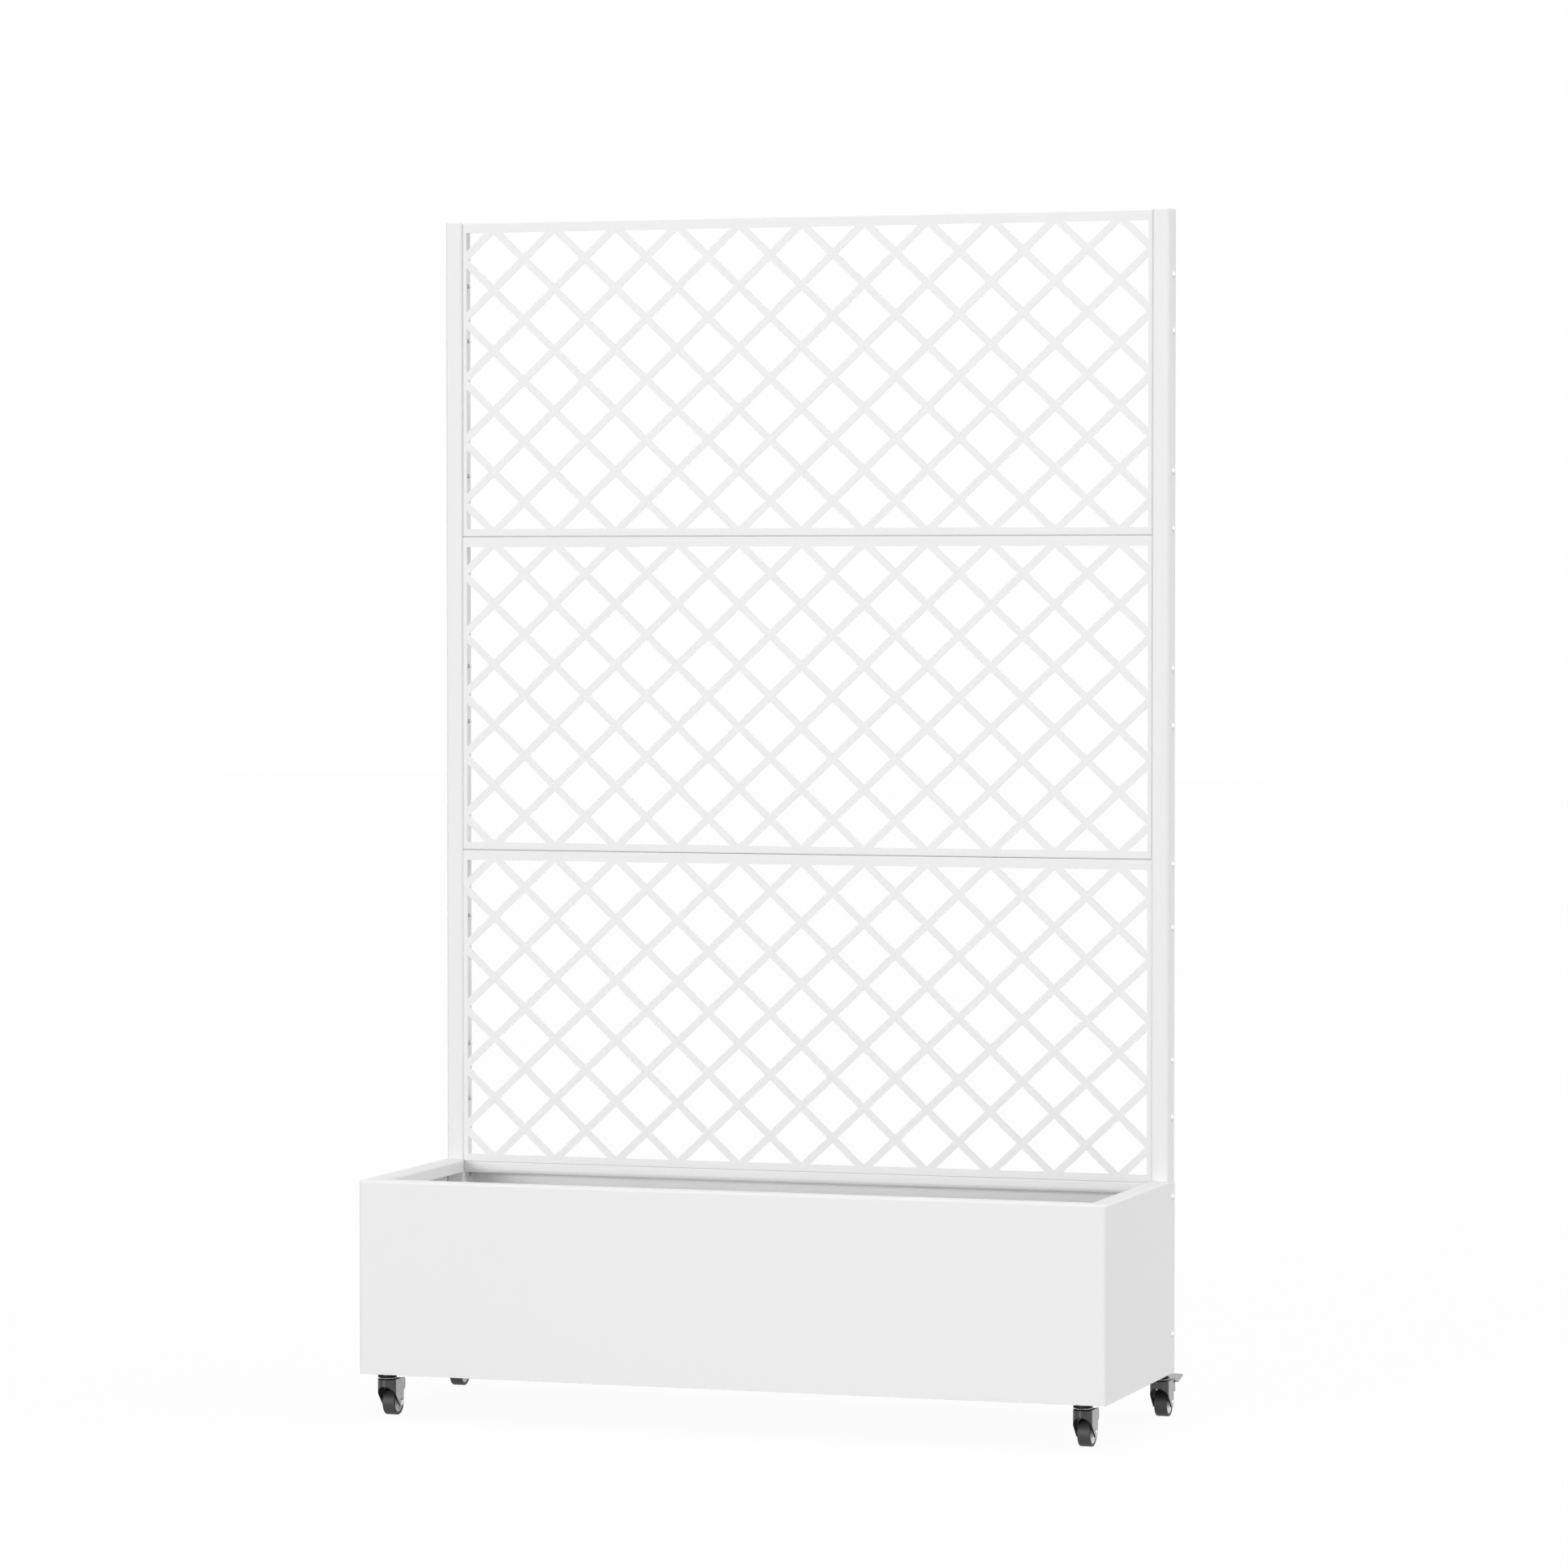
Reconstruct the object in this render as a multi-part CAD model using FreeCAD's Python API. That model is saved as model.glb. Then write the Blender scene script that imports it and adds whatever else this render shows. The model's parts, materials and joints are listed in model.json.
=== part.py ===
"""Privacy screen planter.

A folded sheet-steel planter box stands on four swivel casters, and two square
tube posts at its back corners carry three laser-cut trellis panels.

Sizes are in millimetres. Pieces are drawn in the box's own frame: X to the
right, Y to the rear, Z up from the underside of the box, with X and Y centred
on the box. Each finished piece is then lifted onto its casters and moved so
that the whole object is centred from front to back.
"""

import FreeCAD, Part
import math
import os

Vector = FreeCAD.Vector
RIGHT = Vector(1, 0, 0)
REAR = Vector(0, 1, 0)
UP = Vector(0, 0, 1)

# Planter box
box_width = 1200.0
box_depth = 415.0
sheet = 1.2
rim_level = 302.0
rim_width = 30.0
rim_fold = 4.5
lip_fold = 5.0
lip_height = 21.0
hem_width = 5.0
panel_gap = 0.4

# Rear panel, with a wider rim that carries the screen
rear_rim_level = 299.0
rear_rim_width = 36.0
rear_rim_fold = 3.0
rear_foot_fold = 1.5
rear_lip_height = 19.0
rear_curl_radius = 7.0
rear_curl_width = 9.5
rear_tab_width = 24.0
rear_tab_foot = 32.0
rear_tab_head = 290.0

# Floor tray and the rails under it
tray_level = 29.2
tray_clearance = 0.4
tray_corner_cut = 2.0
drain_radius = 6.0
drain_columns = 2
rail_sheet = 2.0
rail_width = 38.0
rail_fold = 3.0
front_rail_inset = 3.5
rail_end_clearance = 2.0

# Posts
post_width = 28.0
post_depth = 40.0
post_wall = 1.5
post_corner_radius = 3.5
post_below_screen = 0.5
cap_thickness = 2.0
plug_height = 18.0
plug_wall = 2.0
plug_clearance = 0.1

# Trellis panels
panel_height = 500.5
panel_seam = 2.0
panel_depth = 29.6
panel_setback = 5.1
side_margin = 6.4
end_margin = 13.3
bar_width = 10.5
bar_pitch = 103.63
node_inset = 7.8
lattice_rows = 5
panel_names = ("lower_trellis_panel", "middle_trellis_panel", "upper_trellis_panel")

# Bolts through the posts
bolt_neck = 6.0
bolt_hole = 6.4
bolt_head_radius = 6.0
bolt_head_height = 2.6
bolt_head_sides = 12
bolt_reach = 4.0
bolt_setback = 16.3
screen_bolt_shares = (0.066, 0.125, 0.262, 0.3275, 0.470, 0.529, 0.673, 0.732, 0.876, 0.934)
box_bolt_shares = (0.20, 0.91)

# Caster places and height
caster_height = 67.0
front_caster_end = 40.0
front_caster_inset = 17.5
rear_caster_end = 13.5
rear_caster_inset = 42.5
caster_trail = 24.0

# Caster head: stem, bearing and king pin
stem_radius = 5.0
stem_hole_radius = 5.2
stem_above_nut = 3.0
stem_flange_radius = 8.0
stem_flange_below = 2.5
stem_nut_height = 6.0
stem_nut_radius = 9.0
top_race_radius = 14.8
top_race_height = 4.7
lower_race_radius = 14.4
lower_race_height = 1.5
king_pin_radius = 3.95
king_pin_head_radius = 6.5
king_pin_head_height = 2.0
hex_sides = 6
running_gap = 0.3
pin_clearance = 0.05

# Caster fork
fork_sheet = 2.0
fork_half_width = 15.0
fork_rear = 38.0
crown_rear = 28.0
cheek_rear_drop = 17.0
cheek_neck_rear = 31.5
cheek_neck_drop = 20.0
cheek_front_drop = 19.0
cheek_front = 8.0
cheek_tip_radius = 6.5
cheek_tip_fold = 5.0
arch_half_width = 12.0
arch_drop = 11.0

# Caster wheel
wheel_radius = 21.0
tyre_half_width = 10.2
hub_radius = 16.5
hub_half_width = 9.4
hub_boss_radius = 6.0
hub_boss_half_width = 12.4
axle_radius = 3.0
axle_cap_radius = 5.5
axle_cap_height = 1.0

# Brake of a rear caster
brake_travel_degrees = 15.0
brake_pin_radius = 2.0
brake_pin_setback = 34.0
brake_pin_drop = 4.5
brake_pin_head = 0.8
pedal_half_width = 20.0
pedal_length = 33.0
pedal_thickness = 2.0
pedal_slope_degrees = 12.5
pedal_clearance = 1.0
pedal_drop = 4.0
pedal_corner_radius = 5.0
pedal_front_radius = 1.5
ear_sheet = 1.5
ear_radius = 4.0
ear_clearance = 0.6
ear_length = 9.0
shoe_gap = 0.4
shoe_drop = 15.0
shoe_tab_drop = 18.5
shoe_tab_thickness = 2.0
shoe_front = 36.0

overrun = 10.0

# Levels and places worked out from the sizes above
half_width = box_width / 2
half_depth = box_depth / 2
wall_inside = half_width - sheet
rear_inside = half_depth - sheet
post_outside = wall_inside
post_inside = post_outside - post_width
post_rear = rear_inside
post_front = post_rear - post_depth
panel_half_width = post_inside - panel_gap
panel_front = post_front + panel_setback
panel_pitch = panel_height + panel_seam
tray_underside = tray_level - sheet
rail_level = sheet
bolt_place = post_rear - bolt_setback
screen_height = len(panel_names) * panel_pitch - panel_seam
post_top_level = rear_rim_level + screen_height - post_below_screen
screen_bolt_levels = [rear_rim_level + share * screen_height for share in screen_bolt_shares]
box_bolt_levels = [rim_level * share for share in box_bolt_shares]
front_caster_side = half_width - front_caster_end
rear_caster_side = half_width - rear_caster_end
front_caster_place = front_caster_inset - half_depth
rear_caster_place = half_depth - rear_caster_inset
caster_places = {
    "front_left": (-front_caster_side, front_caster_place),
    "front_right": (front_caster_side, front_caster_place),
    "rear_left": (-rear_caster_side, rear_caster_place),
    "rear_right": (rear_caster_side, rear_caster_place),
}
top_race_level = -stem_flange_below
top_race_foot = top_race_level - top_race_height
crown_level = top_race_foot - running_gap - lower_race_height
crown_underside = crown_level - fork_sheet
axle_level = wheel_radius - caster_height
fork_inside = fork_half_width - fork_sheet
brake_pin_level = crown_level - brake_pin_drop
pedal_start = fork_rear + pedal_clearance
pedal_slope = math.radians(pedal_slope_degrees)
pedal_reach = rear_caster_place + pedal_start + pedal_length * math.cos(pedal_slope)
row_shift = Vector(0, (half_depth - pedal_reach) / 2, caster_height)


# Shapes that many pieces use

def block(x_span, y_span, z_span):
    """Block between two places along each axis."""
    spans = (x_span, y_span, z_span)
    size = [max(span) - min(span) for span in spans]
    corner = Vector(*[min(span) for span in spans])
    return Part.makeBox(*size, corner)


def edges_where(shape, test):
    """Edges of a shape whose middle point passes the test."""
    return [edge for edge in shape.Edges if test(edge.CenterOfMass)]


def rounded_path(points, radii):
    """Straight runs between points, joined by tangent arcs at the inner points."""
    edges = []
    start = points[0]
    for before, corner, after, radius in zip(points, points[1:], points[2:], radii):
        back = (before - corner).normalize()
        ahead = (after - corner).normalize()
        half_angle = back.getAngle(ahead) / 2
        first = corner + back * (radius / math.tan(half_angle))
        last = corner + ahead * (radius / math.tan(half_angle))
        inward = (back + ahead).normalize()
        middle = corner + inward * (radius / math.sin(half_angle) - radius)
        edges.append(Part.LineSegment(start, first).toShape())
        edges.append(Part.Arc(first, middle, last).toShape())
        start = last
    edges.append(Part.LineSegment(start, points[-1]).toShape())
    return edges


def outline_face(edges):
    """Flat face inside a closed run of edges."""
    return Part.Face(Part.Wire(Part.__sortEdges__(edges)))


def rounded_plate(points, radii, thickness):
    """Plate with rounded corners, as thick as the vector given."""
    start = (points[0] + points[-1]) / 2
    loop = [start] + points + [start]
    return outline_face(rounded_path(loop, radii)).extrude(thickness)


def sheet_section(skin, inner_radii, thickness, axis):
    """Cut face of a sheet bent inward along the outline of its outer skin."""
    runs = [(end - start).normalize() for start, end in zip(skin, skin[1:])]
    turn = math.copysign(1, runs[0].cross(runs[1]).dot(axis))
    inward = [axis.cross(run) * turn for run in runs]
    lining = [skin[0] + inward[0] * thickness]
    for corner, before, after in zip(skin[1:], inward, inward[1:]):
        share = thickness / (1 + before.dot(after))
        lining.append(corner + (before + after) * share)
    lining.append(skin[-1] + inward[-1] * thickness)
    outer = rounded_path(skin, [radius + thickness for radius in inner_radii])
    inner = rounded_path(lining, inner_radii)
    ends = [Part.LineSegment(skin[place], lining[place]).toShape() for place in (0, -1)]
    return outline_face(outer + inner + ends)


def turned_ring(profile, centre, axis):
    """Solid of revolution from (radius, place along the axis) points."""
    side = REAR if axis.dot(REAR) == 0 else RIGHT
    points = [centre + side * radius + axis * place for radius, place in profile]
    face = Part.Face(Part.makePolygon(points + [points[0]]))
    return face.revolve(centre, axis, 360)


def many_sided(radius, sides, centre, length):
    """Prism with a regular outline about its axis, as long as the vector given."""
    axis = Vector(length).normalize()
    spoke = (REAR if axis.dot(REAR) == 0 else RIGHT) * radius
    corners = []
    for side in range(sides + 1):
        turn = FreeCAD.Rotation(axis, 360 * side / sides)
        corners.append(centre + turn.multVec(spoke))
    return Part.Face(Part.makePolygon(corners)).extrude(length)


def mirrored_pair(shape):
    """A piece on the right, and its mirror image on the left."""
    return shape, shape.mirror(Vector(0, 0, 0), RIGHT)


def one_solid(shape):
    """The single solid that a chain of cuts and joins must leave."""
    clean = shape.removeSplitter()
    if len(clean.Solids) != 1 or not clean.isValid():
        raise ValueError("a piece is not one valid solid")
    return clean.Solids[0]


# Planter box

def rounded_block(inset, fold):
    """The box's outside, or its inside at one sheet's inset, with folded edges."""
    x_half = half_width - inset
    y_half = half_depth - inset
    top = rim_level - inset
    body = block((-x_half, x_half), (-y_half, y_half), (inset, top))
    middle = (inset + top) / 2
    return body.makeFillet(fold, edges_where(body, lambda at: at.z >= middle))


def rim_lip():
    """Inner fold and lip of the rim, along the left, front and right."""
    opening = half_width - rim_width
    front = rim_width - half_depth
    stub = lip_fold + overrun
    skin = [
        Vector(opening + stub, post_front, rim_level),
        Vector(opening, post_front, rim_level),
        Vector(opening, post_front, rim_level - lip_height),
    ]
    section = sheet_section(skin, [lip_fold - sheet], sheet, REAR)
    route = Part.makePolygon([
        Vector(opening, post_front, rim_level),
        Vector(opening, front, rim_level),
        Vector(-opening, front, rim_level),
        Vector(-opening, post_front, rim_level),
    ])
    return route.makePipeShell([section.OuterWire], True, False, 1)


def planter_shell():
    """Front and both sides in one folded sheet, with the rim and a foot hem."""
    outside = rounded_block(0, rim_fold)
    inside = rounded_block(sheet, rim_fold - sheet)
    shell = outside.cut(inside)
    stub = half_width - rim_width + lip_fold + overrun
    front = rim_width - half_depth - lip_fold - overrun
    opening = block((-stub, stub), (front, half_depth), (rim_level - rim_fold, rim_level + overrun))
    hem = wall_inside - hem_width
    hem_depth = rear_inside - hem_width
    floor = block((-hem, hem), (-hem_depth, hem_depth), (-overrun, rim_fold))
    back = post_inside + panel_gap
    rear = block((-back, back), (hem_depth, half_depth + overrun), (-overrun, rim_level + overrun))
    shell = shell.cut([opening, floor, rear]).fuse(rim_lip())
    pocket = block(
        (post_inside, half_width + overrun),
        (post_front, half_depth + overrun),
        (rim_level - rim_fold, rim_level + overrun),
    )
    holes = [box_bolt_hole(level) for level in box_bolt_levels]
    cuts = [side for cut in [pocket] + holes for side in mirrored_pair(cut)]
    return one_solid(shell.cut(cuts))


def rear_panel():
    """Back wall between the posts, with a broad rim whose lip curls under."""
    x_half = panel_half_width
    rim_front = half_depth - rear_rim_width
    lip_foot = rear_rim_level - rear_lip_height
    skin = [
        Vector(-x_half, rear_inside - hem_width, 0),
        Vector(-x_half, half_depth, 0),
        Vector(-x_half, half_depth, rear_rim_level),
        Vector(-x_half, rim_front, rear_rim_level),
        Vector(-x_half, rim_front, lip_foot),
        Vector(-x_half, rim_front + rear_curl_width, lip_foot),
    ]
    folds = (rear_foot_fold, rear_rim_fold, rear_rim_fold, rear_curl_radius)
    radii = [fold - sheet for fold in folds]
    panel = sheet_section(skin, radii, sheet, RIGHT).extrude(RIGHT * (2 * x_half))
    tab = block(
        (x_half - sheet, x_half),
        (rear_inside - rear_tab_width, rear_inside),
        (rear_tab_foot, rear_tab_head),
    )
    panel = panel.fuse(mirrored_pair(tab))
    holes = [box_bolt_hole(level) for level in box_bolt_levels]
    return one_solid(panel.cut([side for hole in holes for side in mirrored_pair(hole)]))


def tray_block(inset):
    """The tray's outside, or its inside at one sheet's inset, with cut corners."""
    x_half = wall_inside - tray_clearance - inset
    y_half = rear_inside - tray_clearance - inset
    body = block((-x_half, x_half), (-y_half, y_half), (rail_level, tray_level - inset))
    upright = edges_where(body, lambda at: rail_level < at.z < tray_level - inset)
    return body.makeChamfer(tray_corner_cut, upright)


def post_notch():
    """Corner of the tray that is cut out round the right post and the rear panel's tab."""
    return block(
        (panel_half_width - sheet - tray_clearance, half_width),
        (post_front - tray_clearance, half_depth),
        (-overrun, tray_level + overrun),
    )


def floor_tray():
    """Floor of the planter: a shallow inverted pan with drain holes."""
    tray = tray_block(0).cut(tray_block(sheet))
    holes = list(mirrored_pair(post_notch()))
    for column in range(drain_columns):
        x = box_width * ((column + 1 / 2) / drain_columns - 1 / 2)
        holes.append(Part.makeCylinder(drain_radius, tray_level + overrun, Vector(x, 0, 0), UP))
    return one_solid(tray.cut(holes))


def caster_rail(front_edge, places):
    """Channel under the tray that the caster stems are bolted through."""
    x_half = wall_inside - tray_clearance - sheet - rail_end_clearance
    skin = [
        Vector(-x_half, front_edge, tray_underside),
        Vector(-x_half, front_edge, rail_level),
        Vector(-x_half, front_edge + rail_width, rail_level),
        Vector(-x_half, front_edge + rail_width, tray_underside),
    ]
    inner_radius = rail_fold - rail_sheet
    rail = sheet_section(skin, [inner_radius, inner_radius], rail_sheet, RIGHT)
    rail = rail.extrude(RIGHT * (2 * x_half))
    holes = [Part.makeCylinder(stem_hole_radius, tray_level, Vector(x, y, 0), UP) for x, y in places]
    return one_solid(rail.cut(holes))


# Posts and their bolts

def square_hole(x_span, level):
    """Square punched hole across the walls that a bolt passes through."""
    return block(
        x_span,
        (bolt_place - bolt_hole / 2, bolt_place + bolt_hole / 2),
        (level - bolt_hole / 2, level + bolt_hole / 2),
    )


def box_bolt_hole(level):
    """Hole through the side wall, the post and the rear panel's tab."""
    return square_hole((post_inside - overrun, half_width + overrun), level)


def post_bar(inset, foot, head):
    """Bar that follows the post's outside at an inset."""
    return block(
        (post_inside + inset, post_outside - inset),
        (post_front + inset, post_rear - inset),
        (foot, head),
    )


def rounded_bar(foot, head):
    """Bar of the post's outside, with its upright edges rounded."""
    bar = post_bar(0, foot, head)
    upright = edges_where(bar, lambda at: foot < at.z < head)
    return bar.makeFillet(post_corner_radius, upright)


def post():
    """Right post: square tube from the rear rail to the top of the screen."""
    tube = rounded_bar(tray_underside, post_top_level)
    bore = post_bar(post_wall, 0, post_top_level + overrun)
    span = (post_inside - overrun, post_outside + overrun)
    holes = [square_hole(span, level) for level in screen_bolt_levels + box_bolt_levels]
    return one_solid(tube.cut([bore] + holes))


def post_cap():
    """Cap of the right post: a flat lid with a hollow plug in the tube."""
    lid = rounded_bar(post_top_level, post_top_level + cap_thickness)
    inset = post_wall + plug_clearance
    foot = post_top_level - plug_height
    plug = post_bar(inset, foot, post_top_level)
    hollow = post_bar(inset + plug_wall, foot, post_top_level)
    return one_solid(lid.fuse(plug.cut(hollow)))


def bolt(head_seat, tip, level):
    """Flat-headed bolt with a square neck that points inward from the right side."""
    centre = Vector(head_seat, bolt_place, level)
    head = many_sided(bolt_head_radius, bolt_head_sides, centre, RIGHT * bolt_head_height)
    neck = block(
        (tip, head_seat),
        (bolt_place - bolt_neck / 2, bolt_place + bolt_neck / 2),
        (level - bolt_neck / 2, level + bolt_neck / 2),
    )
    return one_solid(head.fuse(neck))


def side_bolts():
    """All bolts of the right side: ten at the screen, two at the box."""
    tip = panel_half_width - sheet - bolt_reach
    screen = [bolt(post_outside, tip, level) for level in screen_bolt_levels]
    low = [bolt(half_width, tip, level) for level in box_bolt_levels]
    return screen, low


# Trellis panels

def lattice_bars(middle_level, depth_span):
    """Crossing bars of a panel, as strips through its middle height."""
    rise = (panel_height - 2 * node_inset) / lattice_rows
    slope = math.degrees(math.atan2(rise, bar_pitch))
    length = 2 * panel_height
    reach = panel_half_width + panel_height
    count = math.ceil(reach / bar_pitch)
    bars = []
    for place in range(-count, count):
        centre = Vector((place + 1 / 2) * bar_pitch, 0, middle_level)
        for angle in (slope, -slope):
            bar = block(
                (centre.x - length, centre.x + length),
                depth_span,
                (centre.z - bar_width / 2, centre.z + bar_width / 2),
            )
            bar.rotate(centre, REAR, angle)
            bars.append(bar)
    return bars


def trellis_panel(foot):
    """Sheet pan with flanges turned to the rear and a lattice cut in its face."""
    head = foot + panel_height
    rear = panel_front + panel_depth
    pan = block((-panel_half_width, panel_half_width), (panel_front, rear), (foot, head))
    inside = panel_half_width - sheet
    hollow = block((-inside, inside), (panel_front + sheet, rear + overrun), (foot + sheet, head - sheet))
    depth_span = (panel_front - overrun, panel_front + sheet + overrun)
    window_half = panel_half_width - side_margin
    window = block((-window_half, window_half), depth_span, (foot + end_margin, head - end_margin))
    openings = window.cut(lattice_bars((foot + head) / 2, depth_span))
    levels = [level for level in screen_bolt_levels if foot < level < head]
    span = (post_inside - overrun, post_inside)
    holes = [side for level in levels for side in mirrored_pair(square_hole(span, level))]
    return one_solid(pan.cut([hollow, openings] + holes))


# Casters

def caster_stem(x, y):
    """Threaded stem with its hexagon collar, and the king pin riveted under the fork."""
    stem_top = rail_level + rail_sheet + stem_nut_height + stem_above_nut
    pin_foot = crown_underside - running_gap
    stem = Part.makeCylinder(stem_radius, stem_top - rail_level, Vector(x, y, rail_level), UP)
    collar_rise = UP * (rail_level - top_race_level)
    collar = many_sided(stem_flange_radius, hex_sides, Vector(x, y, top_race_level), collar_rise)
    pin = Part.makeCylinder(king_pin_radius, top_race_level - pin_foot, Vector(x, y, pin_foot), UP)
    head_drop = UP * -king_pin_head_height
    head = many_sided(king_pin_head_radius, bolt_head_sides, Vector(x, y, pin_foot), head_drop)
    return one_solid(stem.fuse([collar, pin, head]))


def stem_nut(x, y):
    """Hexagon nut on the stem, tight on the rail's web."""
    seat = Vector(x, y, rail_level + rail_sheet)
    nut = many_sided(stem_nut_radius, hex_sides, seat, UP * stem_nut_height)
    return nut.cut(Part.makeCylinder(stem_radius, stem_nut_height, seat, UP))


def bearing_ring(x, y, radius, bore, foot, height):
    """Flat ring of the swivel bearing."""
    centre = Vector(x, y, foot)
    ring = Part.makeCylinder(radius, height, centre, UP)
    return ring.cut(Part.makeCylinder(bore, height, centre, UP))


def fork_plan(half, rear, top, foot):
    """Bar with a round front about the swivel axis and straight sides."""
    nose = Vector(0, -half, top)
    left = Vector(-half, 0, top)
    right = Vector(half, 0, top)
    edges = [
        Part.Arc(left, nose, right).toShape(),
        Part.LineSegment(right, Vector(half, rear, top)).toShape(),
        Part.LineSegment(Vector(half, rear, top), Vector(-half, rear, top)).toShape(),
        Part.LineSegment(Vector(-half, rear, top), left).toShape(),
    ]
    return outline_face(edges).extrude(UP * (foot - top))


def cheek_side():
    """Side view of the fork, as a plate across its full width."""
    foot = axle_level - cheek_tip_radius
    front = -fork_half_width - overrun
    outline = [
        (front, crown_level + overrun),
        (fork_rear, crown_level + overrun),
        (fork_rear, crown_level - cheek_rear_drop),
        (cheek_neck_rear, crown_level - cheek_neck_drop),
        (caster_trail + cheek_tip_radius, foot),
        (caster_trail - cheek_tip_radius, foot),
        (-cheek_front, crown_level - cheek_front_drop),
        (front, crown_level - cheek_front_drop),
    ]
    points = [Vector(front, y, z) for y, z in outline]
    plate = Part.Face(Part.makePolygon(points + points[:1])).extrude(RIGHT * (-2 * front))
    tips = edges_where(plate, lambda at: at.z <= foot and abs(at.x) < fork_sheet)
    return plate.makeFillet(cheek_tip_fold, tips)


def caster_fork(braked):
    """Pressed fork: lower race, round front, arch over the wheel and two cheeks."""
    foot = axle_level - cheek_tip_radius
    body = fork_plan(fork_half_width, fork_rear, crown_level, foot)
    hollow = fork_plan(fork_inside, fork_rear + overrun, crown_underside, foot - overrun)
    slot = block(
        (-fork_inside, fork_inside),
        (crown_rear, fork_rear + overrun),
        (crown_underside - overrun, crown_level + overrun),
    )
    arch_level = crown_level - arch_drop - arch_half_width
    front = Vector(0, -fork_half_width - overrun, arch_level)
    arch = Part.makeCylinder(arch_half_width, fork_half_width + overrun, front, REAR)
    gate = block(
        (-arch_half_width, arch_half_width),
        (-fork_half_width - overrun, 0),
        (foot - overrun, arch_level),
    )
    king = Part.makeCylinder(
        king_pin_radius + pin_clearance, fork_sheet + 2 * overrun,
        Vector(0, 0, crown_underside - overrun), UP,
    )
    axle = Part.makeCylinder(
        axle_radius, 2 * (fork_half_width + overrun),
        Vector(-fork_half_width - overrun, caster_trail, axle_level), RIGHT,
    )
    race = Part.makeCylinder(lower_race_radius, lower_race_height, Vector(0, 0, crown_level), UP)
    fork = body.common(cheek_side()).cut([hollow, slot, arch, gate]).fuse(race).cut([king, axle])
    if braked:
        fork = fork.cut(Part.makeCylinder(
            brake_pin_radius, 2 * (fork_half_width + overrun),
            Vector(-fork_half_width - overrun, brake_pin_setback, brake_pin_level), RIGHT,
        ))
    return one_solid(fork)


def wheel_pieces():
    """Tyre, hub and riveted axle about the wheel's axis."""
    centre = Vector(0, caster_trail, axle_level)
    tyre = turned_ring([
        (hub_radius, -tyre_half_width),
        (wheel_radius, -tyre_half_width),
        (wheel_radius, tyre_half_width),
        (hub_radius, tyre_half_width),
    ], centre, RIGHT)
    bore = axle_radius + pin_clearance
    hub = turned_ring([
        (bore, -hub_boss_half_width),
        (hub_boss_radius, -hub_boss_half_width),
        (hub_boss_radius, -hub_half_width),
        (hub_radius, -hub_half_width),
        (hub_radius, hub_half_width),
        (hub_boss_radius, hub_half_width),
        (hub_boss_radius, hub_boss_half_width),
        (bore, hub_boss_half_width),
    ], centre, RIGHT)
    side = RIGHT * fork_half_width
    shank = Part.makeCylinder(axle_radius, 2 * fork_half_width, centre - side, RIGHT)
    cap = many_sided(axle_cap_radius, bolt_head_sides, centre + side, RIGHT * axle_cap_height)
    axle = one_solid(shank.fuse(mirrored_pair(cap)))
    return {"tyre": tyre, "hub": hub, "axle": axle}


def brake_pin():
    """Hinge pin of the brake across the fork's rear, with two small heads."""
    end = fork_half_width + brake_pin_head
    start = Vector(-end, brake_pin_setback, brake_pin_level)
    return Part.makeCylinder(brake_pin_radius, 2 * end, start, RIGHT)


def pedal_line(along, above):
    """Point at a distance along the pedal and above its underside, seen from the side."""
    start = Vector(0, pedal_start, crown_level - pedal_drop - pedal_thickness)
    ahead = REAR * math.cos(pedal_slope) + UP * math.sin(pedal_slope)
    normal = UP * math.cos(pedal_slope) - REAR * math.sin(pedal_slope)
    return start + ahead * along + normal * above


def brake_pedal():
    """Pressed foot plate with two ears that turn on the hinge pin."""
    side = RIGHT * pedal_half_width
    corners = [
        pedal_line(0, 0) - side,
        pedal_line(pedal_length, 0) - side,
        pedal_line(pedal_length, 0) + side,
        pedal_line(0, 0) + side,
    ]
    radii = [pedal_front_radius, pedal_corner_radius, pedal_corner_radius, pedal_front_radius]
    plate = rounded_plate(corners, radii, pedal_line(0, pedal_thickness) - pedal_line(0, 0))
    pin = Vector(0, brake_pin_setback, brake_pin_level)
    outside = RIGHT * (fork_inside - ear_clearance)
    edge, rise = REAR * ear_radius, UP * ear_radius
    arm_points = [
        pin - edge + rise / 2,
        pin - edge / 2 + rise,
        pedal_line(0, pedal_thickness),
        pedal_line(ear_length, 0),
        pin - edge / 2 - rise,
        pin - edge - rise / 2,
    ]
    arm = Part.Face(Part.makePolygon(arm_points + arm_points[:1])).extrude(RIGHT * -ear_sheet)
    arm.translate(outside)
    ears = mirrored_pair(arm)
    bore = Part.makeCylinder(
        brake_pin_radius + pin_clearance, 2 * fork_half_width,
        pin - RIGHT * fork_half_width, RIGHT,
    )
    return one_solid(plate.fuse(ears).cut(bore))


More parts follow.
